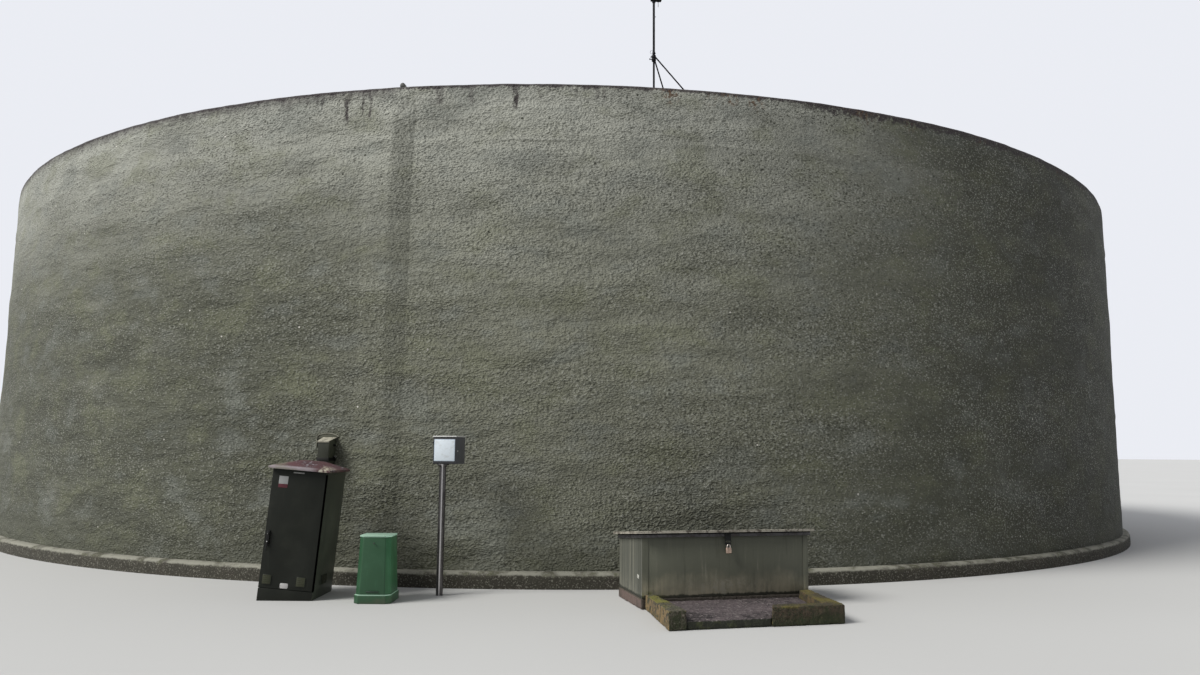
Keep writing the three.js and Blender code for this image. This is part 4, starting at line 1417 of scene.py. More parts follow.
    def buttress_profile(self, azimuth: np.ndarray, height: np.ndarray) -> np.ndarray:
        """Gives how far the buttress stands proud of the wall.

        Args:
            azimuth: Angles, in degrees.
            height: Heights, of the same shape.

        Returns:
            The depth, in metres, below 0 where the piece runs into the wall.
        """
        share = (height - self.foot) / (self.top - self.foot)
        flank = self.flank_foot + (self.flank_top - self.flank_foot) * share
        step = np.clip((azimuth - self.toe) / (self.toe_end - self.toe), 0.0, 1.0)
        ramp = np.clip((azimuth - self.toe) / (self.arris - self.toe), 0.0, 1.0)
        fall = np.clip((flank - azimuth) / (flank - self.arris), 0.0, 1.0)
        rise = 0.2 * step * step * (3.0 - 2.0 * step) + 0.8 * ramp
        upper = 1.0 - 0.5 * np.clip((height - self.fade_from) / 0.25, 0.0, 1.0)
        lower = 0.6 + 0.4 * np.clip((height - 2.2) / 2.6, 0.0, 1.0)
        return self.proud * upper * lower * np.minimum(rise, fall * (1.3 - 0.3 * fall)) - 0.004

    def build_buttress(self) -> None:
        """Makes the buttress, sprayed over like the wall and feathered into it."""
        before, after, upward = self.buttress_steps
        azimuths = np.concatenate([
            np.linspace(self.toe - 0.15, self.arris - 0.12, before),
            np.linspace(self.arris - 0.05, self.flank_top + 0.15, after),
        ])
        heights = np.linspace(self.foot, self.top - 0.04, upward)
        azimuth, height = np.meshgrid(azimuths, heights)
        points = self.face(azimuth, height, self.buttress_profile(azimuth, height))
        rows, across = azimuth.shape
        cap = points[-1].copy()
        cap[:, 2] += 0.022
        cap[:, :2] *= (1.0 - 0.016 / self.radius)
        points = np.concatenate([points, cap[None]])
        back = points[[0, -1]].copy()
        back[..., :2] *= (self.radius - 0.05) / np.linalg.norm(back[..., :2], axis=-1, keepdims=True)
        corner = np.arange((rows + 1) * across).reshape(rows + 1, across)
        inner = (rows + 1) * across + np.arange(2 * across).reshape(2, across)
        mesh_points = np.concatenate([points.reshape(-1, 3), back.reshape(-1, 3)])
        piece = smooth(object_of("buttress_face", mesh_points, quads(corner) + backing(corner, inner)), 60.0)
        settle(piece, TANK, self.finish, ["wall_buttress"])

    def build(self) -> None:
        """Makes the segments, the beam and the buttress."""
        points, normals = self.grid()
        for index in range(self.segments):
            self.build_segment(index, points, normals)
        self.build_beam(points)
        self.build_buttress()


def quads(corner: np.ndarray) -> list[list[int]]:
    """Gives the four-cornered faces between the rows of a grid of corner numbers.

    Args:
        corner: Corner numbers of shape (rows, columns).

    Returns:
        The faces, seen with rows going up and columns going right from outside.
    """
    stacked = np.stack([corner[:-1, :-1], corner[:-1, 1:], corner[1:, 1:], corner[1:, :-1]], axis=-1)
    return stacked.reshape(-1, 4).tolist()


def backing(corner: np.ndarray, inner: np.ndarray) -> list[list[int]]:
    """Gives the faces that close a curved piece behind its outer face.

    Args:
        corner: Corner numbers of the outer face, of shape (rows, columns).
        inner: Corner numbers of the inner face's lowest and highest row.

    Returns:
        The inner face, the lower and the upper face and the two sides.
    """
    faces = quads(inner[::-1]) + quads(np.stack([inner[0], corner[0]])) + quads(np.stack([corner[-1], inner[1]]))
    faces.append([*corner[::-1, 0], inner[0, 0], inner[1, 0]])
    faces.append([*corner[:, -1], inner[1, -1], inner[0, -1]])
    return faces


def revolved(
    name: str, profile: Sequence[tuple[float, float, float]], columns: int, lump: float, seed: int
) -> bpy.types.Object:
    """Turns a closed profile about the tank's axis and roughens it.

    Args:
        name: The piece's name.
        profile: Radius, height and how far each point may move, anticlockwise seen with the axis left.
        columns: Steps around.
        lump: The size of the lumps, in metres.
        seed: Chooses the pattern.

    Returns:
        The object.
    """
    angles = np.arange(columns) * 2.0 * math.pi / columns
    radius, height, move = (np.array(column)[:, None] for column in zip(*profile))
    flat = np.stack([radius * np.sin(angles), -radius * np.cos(angles), height + 0.0 * angles], axis=-1)
    coarse = lattice_noise(flat / lump, seed) * 0.7 + lattice_noise(flat * 2.4 / lump, seed + 1) * 0.3
    rise = lattice_noise(flat / lump, seed + 2)
    reach = radius + coarse * move
    upward = height + rise * move * 0.6
    points = np.stack([reach * np.sin(angles), -reach * np.cos(angles), upward], axis=-1)
    corner = np.arange(len(profile) * columns).reshape(len(profile), columns)
    looped = np.concatenate([corner, corner[:, :1]], axis=1)
    looped = np.concatenate([looped, looped[:1]], axis=0)
    piece = object_of(name, points.reshape(-1, 3), quads(looped))
    made = bmesh.new()
    made.from_mesh(piece.data)
    bmesh.ops.remove_doubles(made, verts=made.verts, dist=1e-5)
    bmesh.ops.recalc_face_normals(made, faces=made.faces)
    made.to_mesh(piece.data)
    made.free()
    return smooth(piece, 45.0)


@dataclass
class RoofAndFoot:
    """The domed roof, the floor and the haunched footing."""

    dome_steps: int = 56
    dome_columns: int = 360
    dome_thickness: float = 0.12
    dome_rise: float = 1.88
    edge_width: float = 0.26
    footing_columns: int = 1500

    def build_dome(self) -> None:
        """Makes the roof as one smooth shallow shell with a level margin."""
        low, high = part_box("roof_dome")
        edge = high.x - self.edge_width
        rise = self.dome_rise
        foot = high.z - rise
        sphere = (edge * edge + rise * rise) / (2.0 * rise)
        outside = []
        for step in range(self.dome_steps + 1):
            radius = edge * (1.0 - step / self.dome_steps)
            height = high.z - 0.003 - sphere + math.sqrt(sphere * sphere - radius * radius)
            outside.append((radius, height, 0.004 if 0 < step < self.dome_steps else 0.0))
        drop = self.dome_thickness
        inside = [(radius, max(height - drop, low.z + 0.04), 0.0) for radius, height, _ in outside[::-8]]
        margin = [
            (inside[-1][0], low.z, 0.0), (high.x, low.z, 0.0), (high.x, foot - 0.006, 0.0),
            (high.x - 0.006, foot, 0.0), (high.x - 0.08, foot, 0.003), (high.x - 0.17, foot, 0.003),
        ]
        piece = revolved("roof_shell", inside + margin + outside, self.dome_columns, 1.4, 41)
        settle(piece, TANK, RoofConcrete(), ["roof_dome"])

    def build_footing(self) -> None:
        """Makes the footing with its rough haunch."""
        low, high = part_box("ring_footing")
        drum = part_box("ring_beam")[1].x
        haunch = high.x - drum
        top, out = high.z, high.x
        profile = [
            (drum - 0.6, low.z, 0.0), (out - 0.006, low.z, 0.0), (out - 0.006, low.z + 0.04, 0.005),
            (out - 0.006, low.z + 0.08, 0.006), (out - 0.007, low.z + 0.115, 0.006),
            (out - 0.009, top - 0.055, 0.007), (out - 0.018, top - 0.03, 0.007),
            (out - haunch * 0.35, top - 0.014, 0.007), (out - haunch * 0.62, top - 0.006, 0.006),
            (drum + 0.012, top - 0.002, 0.004), (drum - 0.1, top - 0.0005, 0.0),
            (drum - 0.6, top - 0.0005, 0.0),
        ]
        piece = revolved("footing_haunch", profile, self.footing_columns, 0.13, 51)
        finish = AgedConcrete(
            pale=(0.29, 0.285, 0.235), face=(0.036, 0.033, 0.023), moss=(0.075, 0.08, 0.035), moss_share=0.4,
        )
        settle(piece, TANK, finish, ["ring_footing"])
        dress_node("floor_slab", finish)

    def build(self) -> None:
        """Makes the roof and the footing."""
        self.build_dome()
        self.build_footing()


@dataclass
class Mast:
    """The slim mast on the rim with its two braces, and the fitting beside it."""

    azimuth: float = 5.02
    radius: float = 12.69
    lower: float = 0.014
    upper: float = 0.016
    step: float = 7.165
    top: float = 8.01
    head_foot: float = 7.946
    head_shift: float = 0.033
    rear: tuple[float, float, float] = (6.13, 12.4, 7.085)
    side: tuple[float, float, float] = (7.06, 12.69, 7.118)
    bolt: float = 0.007
    roof_height: float = 6.61
    plate: float = 0.06
    plate_bolts: float = 0.042
    brace_radius: float = 0.0098
    clamp_radius: float = 0.03
    head_size: tuple[float, float, float] = (0.075, 0.136, 0.03)
    lead: tuple[float, float, float] = (0.062, 0.074, 0.0032)

    def __post_init__(self) -> None:
        """Works out the mast's own frame."""
        self.here = Stand(*self.spot(self.azimuth, self.radius)[:2], turn=self.azimuth).matrix()

    def spot(self, azimuth: float, radius: float) -> Vector:
        """Gives a place on a circle about the tank's axis, at height 0."""
        angle = math.radians(azimuth)
        return Vector((radius * math.sin(angle), -radius * math.cos(angle), 0.0))

    def build_pole(self, foot: float, finish: Finish) -> None:
        """Makes the pole, its foot plate and the hose clip on it.

        Args:
            foot: The height of the rim.
            finish: The pole's finish.
        """
        plate, apart = self.plate, self.plate_bolts
        sketch = Sketch().block((-plate, -plate, foot), (plate, plate, foot + 0.008), 0.0015)
        for x in (-apart, apart):
            for y in (-apart, apart):
                sketch.rod((x, y, foot + 0.008), (x, y, foot + 0.016), self.bolt, 6)
                sketch.rod((x, y, foot + 0.016), (x, y, foot + 0.028), self.bolt * 0.55, 12)
        sketch.rod((0, 0, foot + 0.004), (0, 0, foot + 0.034), self.lower + 0.008, 24, 0.003, self.lower + 0.001)
        sketch.rod((0, 0, foot + 0.004), (0, 0, self.step + 0.03), self.lower, 24)
        sketch.rod((0, 0, self.step), (0, 0, self.top), self.upper, 24, 0.0015)
        sketch.rod((0, 0, self.step - 0.006), (0, 0, self.step + 0.03), self.upper + 0.004, 24, 0.002)
        for height in (self.step + 0.012, self.top - 0.3):
            sketch.rod((self.upper - 0.004, 0, height), (self.upper + 0.014, 0, height), 0.004, 6)
        settle(sketch.place("mast_pole_tube", self.here), TANK, finish, ["mast_pole"])

    def build_brace(
        self, name: str, brace: tuple[float, float, float], foot: float, shift: float, finish: Finish
    ) -> None:
        """Makes one brace with its clamp and foot plate.

        Args:
            name: The CAD node that it stands for.
            brace: The foot's azimuth and radius, and the clamp's height.
            foot: The height of what its foot stands on.
            shift: How far the clamp lies above that height.
            finish: The finish.
        """
        mast = self.spot(self.azimuth, self.radius)
        end = self.spot(brace[0], brace[1])
        along = (end - mast).normalized()
        start = mast + along * 0.026
        start.z = brace[2]
        low = brace[2] - 0.02 + shift
        sketch = Sketch().rod((mast.x, mast.y, low), (mast.x, mast.y, low + 0.04), self.clamp_radius, 24, 0.004)
        foot_point = Vector((end.x, end.y, foot + 0.012))
        knee = foot_point.lerp(start, 0.03)
        sketch.tube([start, start.lerp(foot_point, 0.5), knee], self.brace_radius, 16)
        sketch.block((end.x - 0.03, end.y - 0.03, foot + GAP), (end.x + 0.03, end.y + 0.03, foot + 0.006), 0.0012)
        sketch.rod((end.x, end.y, foot + 0.005), (end.x, end.y, foot + 0.022), 0.011, 6, 0.001)
        for side in (-1.0, 1.0):
            spot = mast - along * 0.028 + along.cross(Vector((0, 0, 1))) * side * 0.014
            head = (spot.x - along.x * 0.016, spot.y - along.y * 0.016, low + 0.02)
            sketch.rod((spot.x, spot.y, low + 0.02), head, 0.005, 6)
        settle(sketch.place(name.replace("mast_", "stay_")), TANK, finish, [name])

    def build_head(self, finish: Finish) -> None:
        """Makes the closed housing on the mast and the glands below it."""
        foot = self.head_foot
        half, height, shoulder = self.head_size
        outline = [
            (-half, 0.0), (half, 0.0), (half, height - shoulder), (half - shoulder, height),
            (shoulder - half, height), (-half, height - shoulder),
        ]
        seam = [(-half - 0.003, 0.034), (half + 0.003, 0.034), (half + 0.003, 0.041), (-half - 0.003, 0.041)]
        upright = Matrix.Translation((self.head_shift, 0.035, foot)) @ Matrix.Rotation(math.radians(90), 4, "X")
        housing = Sketch().prism(outline, 0.0, 0.07, 0.006).prism(seam, -0.003, 0.073, 0.001)
        settle(housing.place("mast_head_housing", self.here @ upright), TANK, finish, ["mast_head"])
        fittings = Sketch().rod((0, 0, foot - 0.03), (0, 0, foot + 0.002), 0.024, 24, 0.003)
        x, length, radius = self.lead
        fittings.rod((x, 0, foot - 0.018), (x, 0, foot + 0.002), 0.009, 12, 0.001)
        fittings.rod((x, 0, foot - 0.014 - length), (x, 0, foot - 0.014), radius, 12, 0.001)
        settle(fittings.place("mast_head_gland", self.here), TANK, finish)

    def build_clip(self, finish: Finish) -> None:
        """Makes the small loop and knob clipped to the pole beside the braces."""
        sketch = Sketch()
        middle = self.side[2] - 0.03
        sketch.rod((-0.028, 0, middle), (-0.05, 0, middle), 0.006, 12, 0.001)
        sketch.rod((-0.05, 0, middle), (-0.062, 0, middle), 0.011, 12, 0.002)
        turns = [math.radians(step * 30.0) for step in range(11)]
        loop = [(-0.034 - 0.02 * math.sin(a) * 0.9, -0.004, middle + 0.1 + 0.025 * math.cos(a)) for a in turns]
        ends = [(-self.upper, -0.004, middle + height) for height in (0.125, 0.085)]
        sketch.tube([ends[0], *loop, ends[1]], 0.002, 8)
        settle(sketch.place("mast_clip", self.here), TANK, finish)

    def build(self) -> None:
        """Makes the mast, its braces and the rim fitting."""
        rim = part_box("ring_beam")[1].z
        finish = DarkPaint(tone=(0.007, 0.007, 0.009), chalk=(0.022, 0.022, 0.026), roughness=0.6, sheen=0.15)
        self.build_pole(rim + GAP, finish)
        self.build_brace("mast_rear_brace", self.rear, self.roof_height, -0.006, finish)
        self.build_brace("mast_side_brace", self.side, rim, 0.006, finish)
        self.build_head(finish)
        self.build_clip(finish)
        fitting = Sketch().node("rim_fitting", 0.006, 3)
        settle(fitting.place("rim_lug"), TANK, DarkPaint(tone=(0.05, 0.05, 0.045)), ["rim_fitting"])


@dataclass
class WallBox:
    """The small box on the wall over the cabinet, with its cover, lugs, glands and mortar."""

    azimuth: float = -13.75
    middle: float = -0.0755
    width: float = 0.155
    depth: float = 0.18
    foot: float = 1.587
    front_top: float = 1.812
    rear_top: float = 1.862
    flat: float = 12.8469
    mortar_middle: float = -0.113
    mortar_half: float = 0.155
    mortar_radius: float = 0.0095
    lug_heights: tuple[float, float] = (1.762, 1.604)
    eye: tuple[float, float, float] = (1.616, 0.013, 0.0026)
    glands: tuple[float, float] = (-0.042, 0.038)

    def build_cover(self, here: Matrix, x0: float, x1: float, front: float) -> None:
        """Makes the pale sloping cover with its front lip.

        Args:
            here: The box's frame.
            x0: The box's left side.
            x1: The box's right side.
            front: The box's front.
        """
        slope = math.atan2(self.rear_top - self.front_top, self.depth)
        tilt = Matrix.Translation((0, front, self.front_top)) @ Matrix.Rotation(slope, 4, "X")
        length = self.depth / math.cos(slope)
        left, right = x0 - 0.005, x1 + 0.006
        outline = [(left, -0.012), (right, -0.012), (right + 0.012, length - 0.002), (left - 0.02, length - 0.002)]
        cover = Sketch().prism(outline, 0.0005, 0.008, 0.002)
        cover.block((left, -0.012, -0.012), (right, -0.008, 0.004), 0.001)
        finish = WeatheredSheet(pale=(0.42, 0.4, 0.32), grime=(0.16, 0.15, 0.12), share=0.4)
        settle(cover.place("wall_box_cover", here @ tilt), TANK, finish)

    def build_lugs(self, here: Matrix, x0: float, x1: float, back: float) -> None:
        """Makes the two lugs on the right side, the eye on the lower one and the glands below.

        Args:
            here: The box's frame.
            x0: The box's left side.
            x1: The box's right side.
            back: The box's back.
        """
        lugs = Sketch()
        for height in self.lug_heights:
            lugs.block((x1 - 0.002, back - 0.058, height - 0.011), (x1 + 0.03, back - 0.05, height + 0.011), 0.001)
            lugs.block((x1 - 0.004, back - 0.07, height - 0.015), (x1 + 0.004, back - 0.02, height + 0.015), 0.001)
            lugs.rod((x1 + 0.018, back - 0.066, height), (x1 + 0.018, back - 0.046, height), 0.006, 6, 0.0008)
        lugs.block((x0 + 0.01, back - 0.11, self.foot - 0.058), (x1 - 0.01, back - 0.002, self.foot - 0.04), 0.003)
        front = back - self.depth
        low = (x0 - 0.01, front - 0.008, self.foot - 0.024)
        lugs.block(low, (x1 + 0.008, back - 0.001, self.foot + 0.016), 0.003)
        for x in (self.middle + shift for shift in self.glands):
            lugs.rod((x, back - 0.055, self.foot - 0.082), (x, back - 0.055, self.foot - 0.055), 0.018, 16, 0.002)
        dark = DarkPaint(tone=(0.01, 0.01, 0.009), chalk=(0.02, 0.02, 0.018), roughness=0.6, sheen=0.2)
        settle(lugs.place("wall_box_lugs", here), TANK, dark)
        turns = [math.radians(step * 30.0) for step in range(12)]
        height, radius, wire = self.eye
        ring = [(x1 + 0.026 + radius * math.sin(a), back - 0.052, height + radius * math.cos(a)) for a in turns]
        eye = Sketch().tube(ring, wire, 8)
        settle(eye.place("wall_box_eye", here), TANK, BareMetal(tone=(0.5, 0.5, 0.48)))

    def build_mortar(self, here: Matrix, back: float) -> None:
        """Makes the arch of mortar over the box and a dark sheet of painted shade in the hollow inside it.

        Args:
            here: The box's frame.
            back: The box's back.
        """
        half = self.mortar_half
        middle, behind = self.mortar_middle, back - 0.004
        route = [(middle - half - 0.004, behind, 1.74), (middle - half, behind, 1.83)]
        for step in range(15):
            angle = math.radians(-80.0 + step * 160.0 / 14.0)
            across, rise = half * math.sin(angle), 0.055 * math.cos(angle)
            route.append((middle + across, behind, self.rear_top + rise))
        mortar = Sketch().tube(route, self.mortar_radius, 12).place("wall_box_mortar", here, 60.0)
        weathered(mortar, 0.004, 0.003, 0.03, 61)
        pale = AgedConcrete(pale=(0.3, 0.3, 0.24), face=(0.24, 0.24, 0.19), moss_share=0.1)
        settle(mortar, TANK, pale)
        # Painted shade: a dark sheet on the wall inside the arch stands for the shade in its hollow.
        outline = [(-half + 0.02, 0.0), (half - 0.02, 0.0)]
        for step in range(9):
            angle = math.radians(76.0 - step * 152.0 / 8.0)
            outline.append((half * 0.95 * math.sin(angle), 0.01 + 0.048 * math.cos(angle)))
        upright = Matrix.Translation((middle, back, 1.855)) @ Matrix.Rotation(math.radians(90), 4, "X")
        hollow = Sketch().prism(outline, 0.0, 0.003, 0.001).place("wall_box_recess_shade", here @ upright)
        settle(hollow, TANK, DarkPaint(tone=(0.09, 0.092, 0.07), chalk=(0.12, 0.122, 0.095), sheen=0.1))

    def build(self) -> None:
        """Makes the box, its sloping cover, the lugs and the mortar arch over it."""
        here = Stand(turn=self.azimuth).matrix()
        back = -(self.flat + GAP)
        x0, x1 = self.middle - self.width / 2, self.middle + self.width / 2
        # flank paints light onto the box's right side.
        paint = DarkPaint(tone=(0.024, 0.026, 0.018), chalk=(0.05, 0.053, 0.038), flank=2.6, sheen=0.3)
        body = Sketch().node("wall_box", 0.004, 3)
        settle(body.place("wall_box_shell"), TANK, paint, ["wall_box"])
        self.build_cover(here, x0, x1, back - self.depth)
        self.build_lugs(here, x0, x1, back)
        self.build_mortar(here, back)


@dataclass
class ValveChamber:
    """The valve chamber: painted walls, a raking hinged lid with hasp and padlock, plinth and apron."""

    turn: float = 12.1
    left: float = -2.222
    right: float = -0.236
    front: float = -14.251
    rear: float = -13.321
    front_top: float = 0.814
    rear_top: float = 0.731
    overhang: float = 0.078
    overhang_right: float = 0.05
    hinge_radius: float = 0.009
    hinge_half: float = 0.06
    hinge_shares: tuple[float, float] = (0.16, 0.84)
    stiffeners: tuple[float, float, float] = (0.25, 0.5, 0.75)
    skirt_out: float = 0.024
    skirt_foot: float = -0.044
    lock_half: float = 0.032
    shackle: tuple[float, float, float] = (0.0185, -0.1525, 0.0058)
    body: str = "lid_leaf"

    def __post_init__(self) -> None:
        """Works out the chamber's frame and its lid's frame."""
        self.frame = Stand(turn=self.turn).matrix()
        rake = math.atan2(self.rear_top - self.front_top, self.rear - self.front)
        corner = Matrix.Translation((0, self.rear, self.rear_top + GAP))
        self.lid_frame = self.frame @ corner @ Matrix.Rotation(rake, 4, "X")
        self.reach = (self.front - self.rear) / math.cos(rake)

    def build_walls(self) -> None:
        """Makes the four walls with slightly worn edges."""
        finish = PaintedPanel()
        for side in ("rear", "right", "left", "front"):
            node = f"chamber_{side}_wall"
            piece = Sketch().node(node, 0.0015).place(f"chamber_{side}_panel")
            settle(piece, TANK, finish, [node])
        edge = [
            (0.318, 0.112), (0.314, 0.131), (0.32, 0.15), (0.316, 0.172), (0.331, 0.187), (0.347, 0.177),
            (0.358, 0.183), (0.361, 0.158), (0.353, 0.139), (0.359, 0.121), (0.343, 0.109), (0.33, 0.117),
        ]
        outline = [(height, self.front + along) for height, along in edge]
        upright = self.frame @ Matrix.Translation((self.left, 0, 0)) @ Matrix.Rotation(math.radians(-90), 4, "Y")
        chip = Sketch().prism(outline, 0.0002, 0.0018, 0.0004).place("chamber_left_chip", upright)
        settle(chip, TANK, BlankPanel(tone=(0.4, 0.4, 0.36), dirt=(0.2, 0.19, 0.15), roughness=0.8))

    def build_lid(self) -> None:
        """Makes the lid's sheet and skirt, its stiffeners and its hinge knuckles."""
        x0, x1 = self.left - self.overhang, self.right + self.overhang_right
        front = self.reach - self.overhang
        sheet = Sketch().block((x0, front, 0.008), (x1, 0.0, 0.026), 0.003, 3)
        sheet.block((x0, front, 0.0), (x0 + 0.006, 0.0, 0.022), 0.001)
        sheet.block((x1 - 0.006, front, 0.0), (x1, 0.0, 0.022), 0.001)
        sheet.block((x0, front, 0.0), (x1, front + 0.006, 0.022), 0.001)
        settle(sheet.place("lid_sheet", self.lid_frame), self.body, WeatheredSheet(), ["chamber_lid"])
        skirt = Sketch()
        out, low = self.skirt_out, self.skirt_foot
        xa, xb, ya = self.left - out, self.right + out, self.reach - out
        skirt.block((xa, ya, low), (xb, ya + 0.012, 0.009), 0.0015)
        skirt.block((xa, ya + 0.012, low), (xa + 0.012, -0.012, 0.009), 0.0015)
        skirt.block((xb - 0.012, ya + 0.012, low), (xb, -0.012, 0.009), 0.0015)
        for share in self.stiffeners:
            x = xa + (xb - xa) * share
            skirt.block((x - 0.015, self.reach + 0.1, 0.0008), (x + 0.015, -0.1, 0.009), 0.001)
        finish = WeatheredSheet(pale=(0.085, 0.082, 0.088), grime=(0.04, 0.036, 0.036), rust=(0.07, 0.045, 0.035))
        settle(skirt.place("lid_skirt", self.lid_frame), self.body, finish)
        # A black strip of painted shadow along the top of the skirt's front and left side, under the sheet's edge.
        shadow_strip = Sketch().block((xa - 0.001, ya - 0.0012, -0.013), (xb + 0.001, ya + 0.001, 0.0078), 0.0004)
        shadow_strip.block((xa - 0.0012, ya, -0.013), (xa + 0.001, -0.02, 0.0078), 0.0004)
        black = DarkPaint(tone=(0.006, 0.006, 0.006), chalk=(0.012, 0.012, 0.011), roughness=0.8, sheen=0.1)
        settle(shadow_strip.place("lid_shadow_strip", self.lid_frame), self.body, black)
        leaves, knuckles = Sketch(), Sketch()
        for share in self.hinge_shares:
            middle, half = x0 + (x1 - x0) * share, self.hinge_half
            knuckles.rod((middle - half, 0.0, 0.0), (middle + half, 0.0, 0.0), self.hinge_radius, 20, 0.001)
            knuckles.block((middle - 0.03, -0.07, 0.026), (middle + 0.03, -0.004, 0.03), 0.001)
            knuckles.block((middle - 0.03, -0.008, 0.0), (middle + 0.03, 0.004, 0.03), 0.001)
            corner = (middle - half, self.rear + 0.0005, self.rear_top - 0.09)
            leaves.block(corner, (middle + half, self.rear + 0.004, self.rear_top - 0.0115), 0.001)
        dark = DarkPaint(tone=(0.035, 0.034, 0.03), roughness=0.5)
        settle(knuckles.place("lid_hinge_knuckles", self.lid_frame), self.body, dark)
        settle(leaves.place("lid_hinge_leaves", self.frame), TANK, dark)

    def build_lock(self) -> None:
        """Makes the hasp and the padlock that hangs on it."""
        middle = (self.left + self.right) / 2.0
        face = self.reach - self.skirt_out - GAP
        outer = face - 0.008
        hasp = Sketch().node("chamber_hasp", 0.0015)
        black = DarkPaint(tone=(0.009, 0.0095, 0.009), chalk=(0.03, 0.031, 0.028), sheen=0.3)
        settle(hasp.place("hasp_strap"), self.body, black, ["chamber_hasp"])
        bolts = Sketch()
        for x in (-0.018, 0.018):
            bolts.rod((middle + x, face - 0.006, -0.022), (middle + x, face - 0.014, -0.022), 0.0065, 6, 0.001)
        bolts.block((middle - 0.005, outer - 0.014, -0.146), (middle + 0.005, outer + 0.004, -0.118), 0.002)
        settle(bolts.place("hasp_bolts", self.lid_frame), self.body, black)
        brass = BareMetal(tone=(0.66, 0.5, 0.4), dull=(0.2, 0.09, 0.05), roughness=0.36, brush=(1.0, 1.0, 0.1))
        corner = (middle + self.lock_half, outer + 0.01, -0.165)
        lock = Sketch().block((middle - self.lock_half, outer - 0.018, -0.231), corner, 0.009, 4)
        lock.rod((middle, outer - 0.0172, -0.205), (middle, outer - 0.0192, -0.205), 0.009, 24, 0.0008)
        settle(lock.place("padlock_body", self.lid_frame, 40.0), self.body, brass, ["chamber_padlock"])
        radius, height, rod = self.shackle
        depth = outer - 0.0085
        arch = [(middle - radius, depth, -0.17)]
        for step in range(13):
            angle = math.radians(-90.0 + step * 15.0)
            arch.append((middle + radius * math.sin(angle), depth, height + radius * math.cos(angle)))
        arch.append((middle + radius, depth, -0.17))
        shackle = Sketch().tube(arch, rod, 16)
        pale = BareMetal(tone=(0.75, 0.68, 0.62), dull=(0.4, 0.33, 0.28), roughness=0.3)
        settle(shackle.place("padlock_shackle", self.lid_frame), self.body, pale)

    def build_base(self) -> None:
        """Makes the plinth and the kerbed apron, rough and mossy."""
        kerbs = {
            "left": (73, KerbConcrete(lichen=(0.27, 0.18, 0.08), lichen_share=0.7, moss_share=0.9)),
            "right": (76, KerbConcrete(worn=(0.09, 0.062, 0.036), moss=(0.15, 0.125, 0.02), moss_share=0.65)),
        }
        plinth = weathered(Sketch().node("chamber_plinth", 0.006).place("plinth_block"), 0.014, 0.004, 0.07, 71)
        finish = AgedConcrete(
            pale=(0.06, 0.052, 0.04), face=(0.125, 0.088, 0.075), moss=(0.03, 0.036, 0.012), moss_share=0.4,
            front_darkening=0.9,
        )
        settle(plinth, TANK, finish, ["chamber_plinth"])
        for side, (seed, kerb) in kerbs.items():
            node = f"apron_{side}_kerb"
            piece = weathered(Sketch().node(node, 0.006).place(f"kerb_{side}"), 0.007, 0.0075, 0.04, seed)
            settle(piece, TANK, kerb, [node])
        slab = weathered(Sketch().node("apron_slab", 0.004).place("apron_floor"), 0.01, 0.006, 0.06, 79)
        settle(slab, TANK, SlabConcrete(), ["apron_slab"])

    def build(self) -> None:
        """Makes the chamber's pieces."""
        self.build_walls()
        self.build_lid()
        self.build_lock()
        self.build_base()


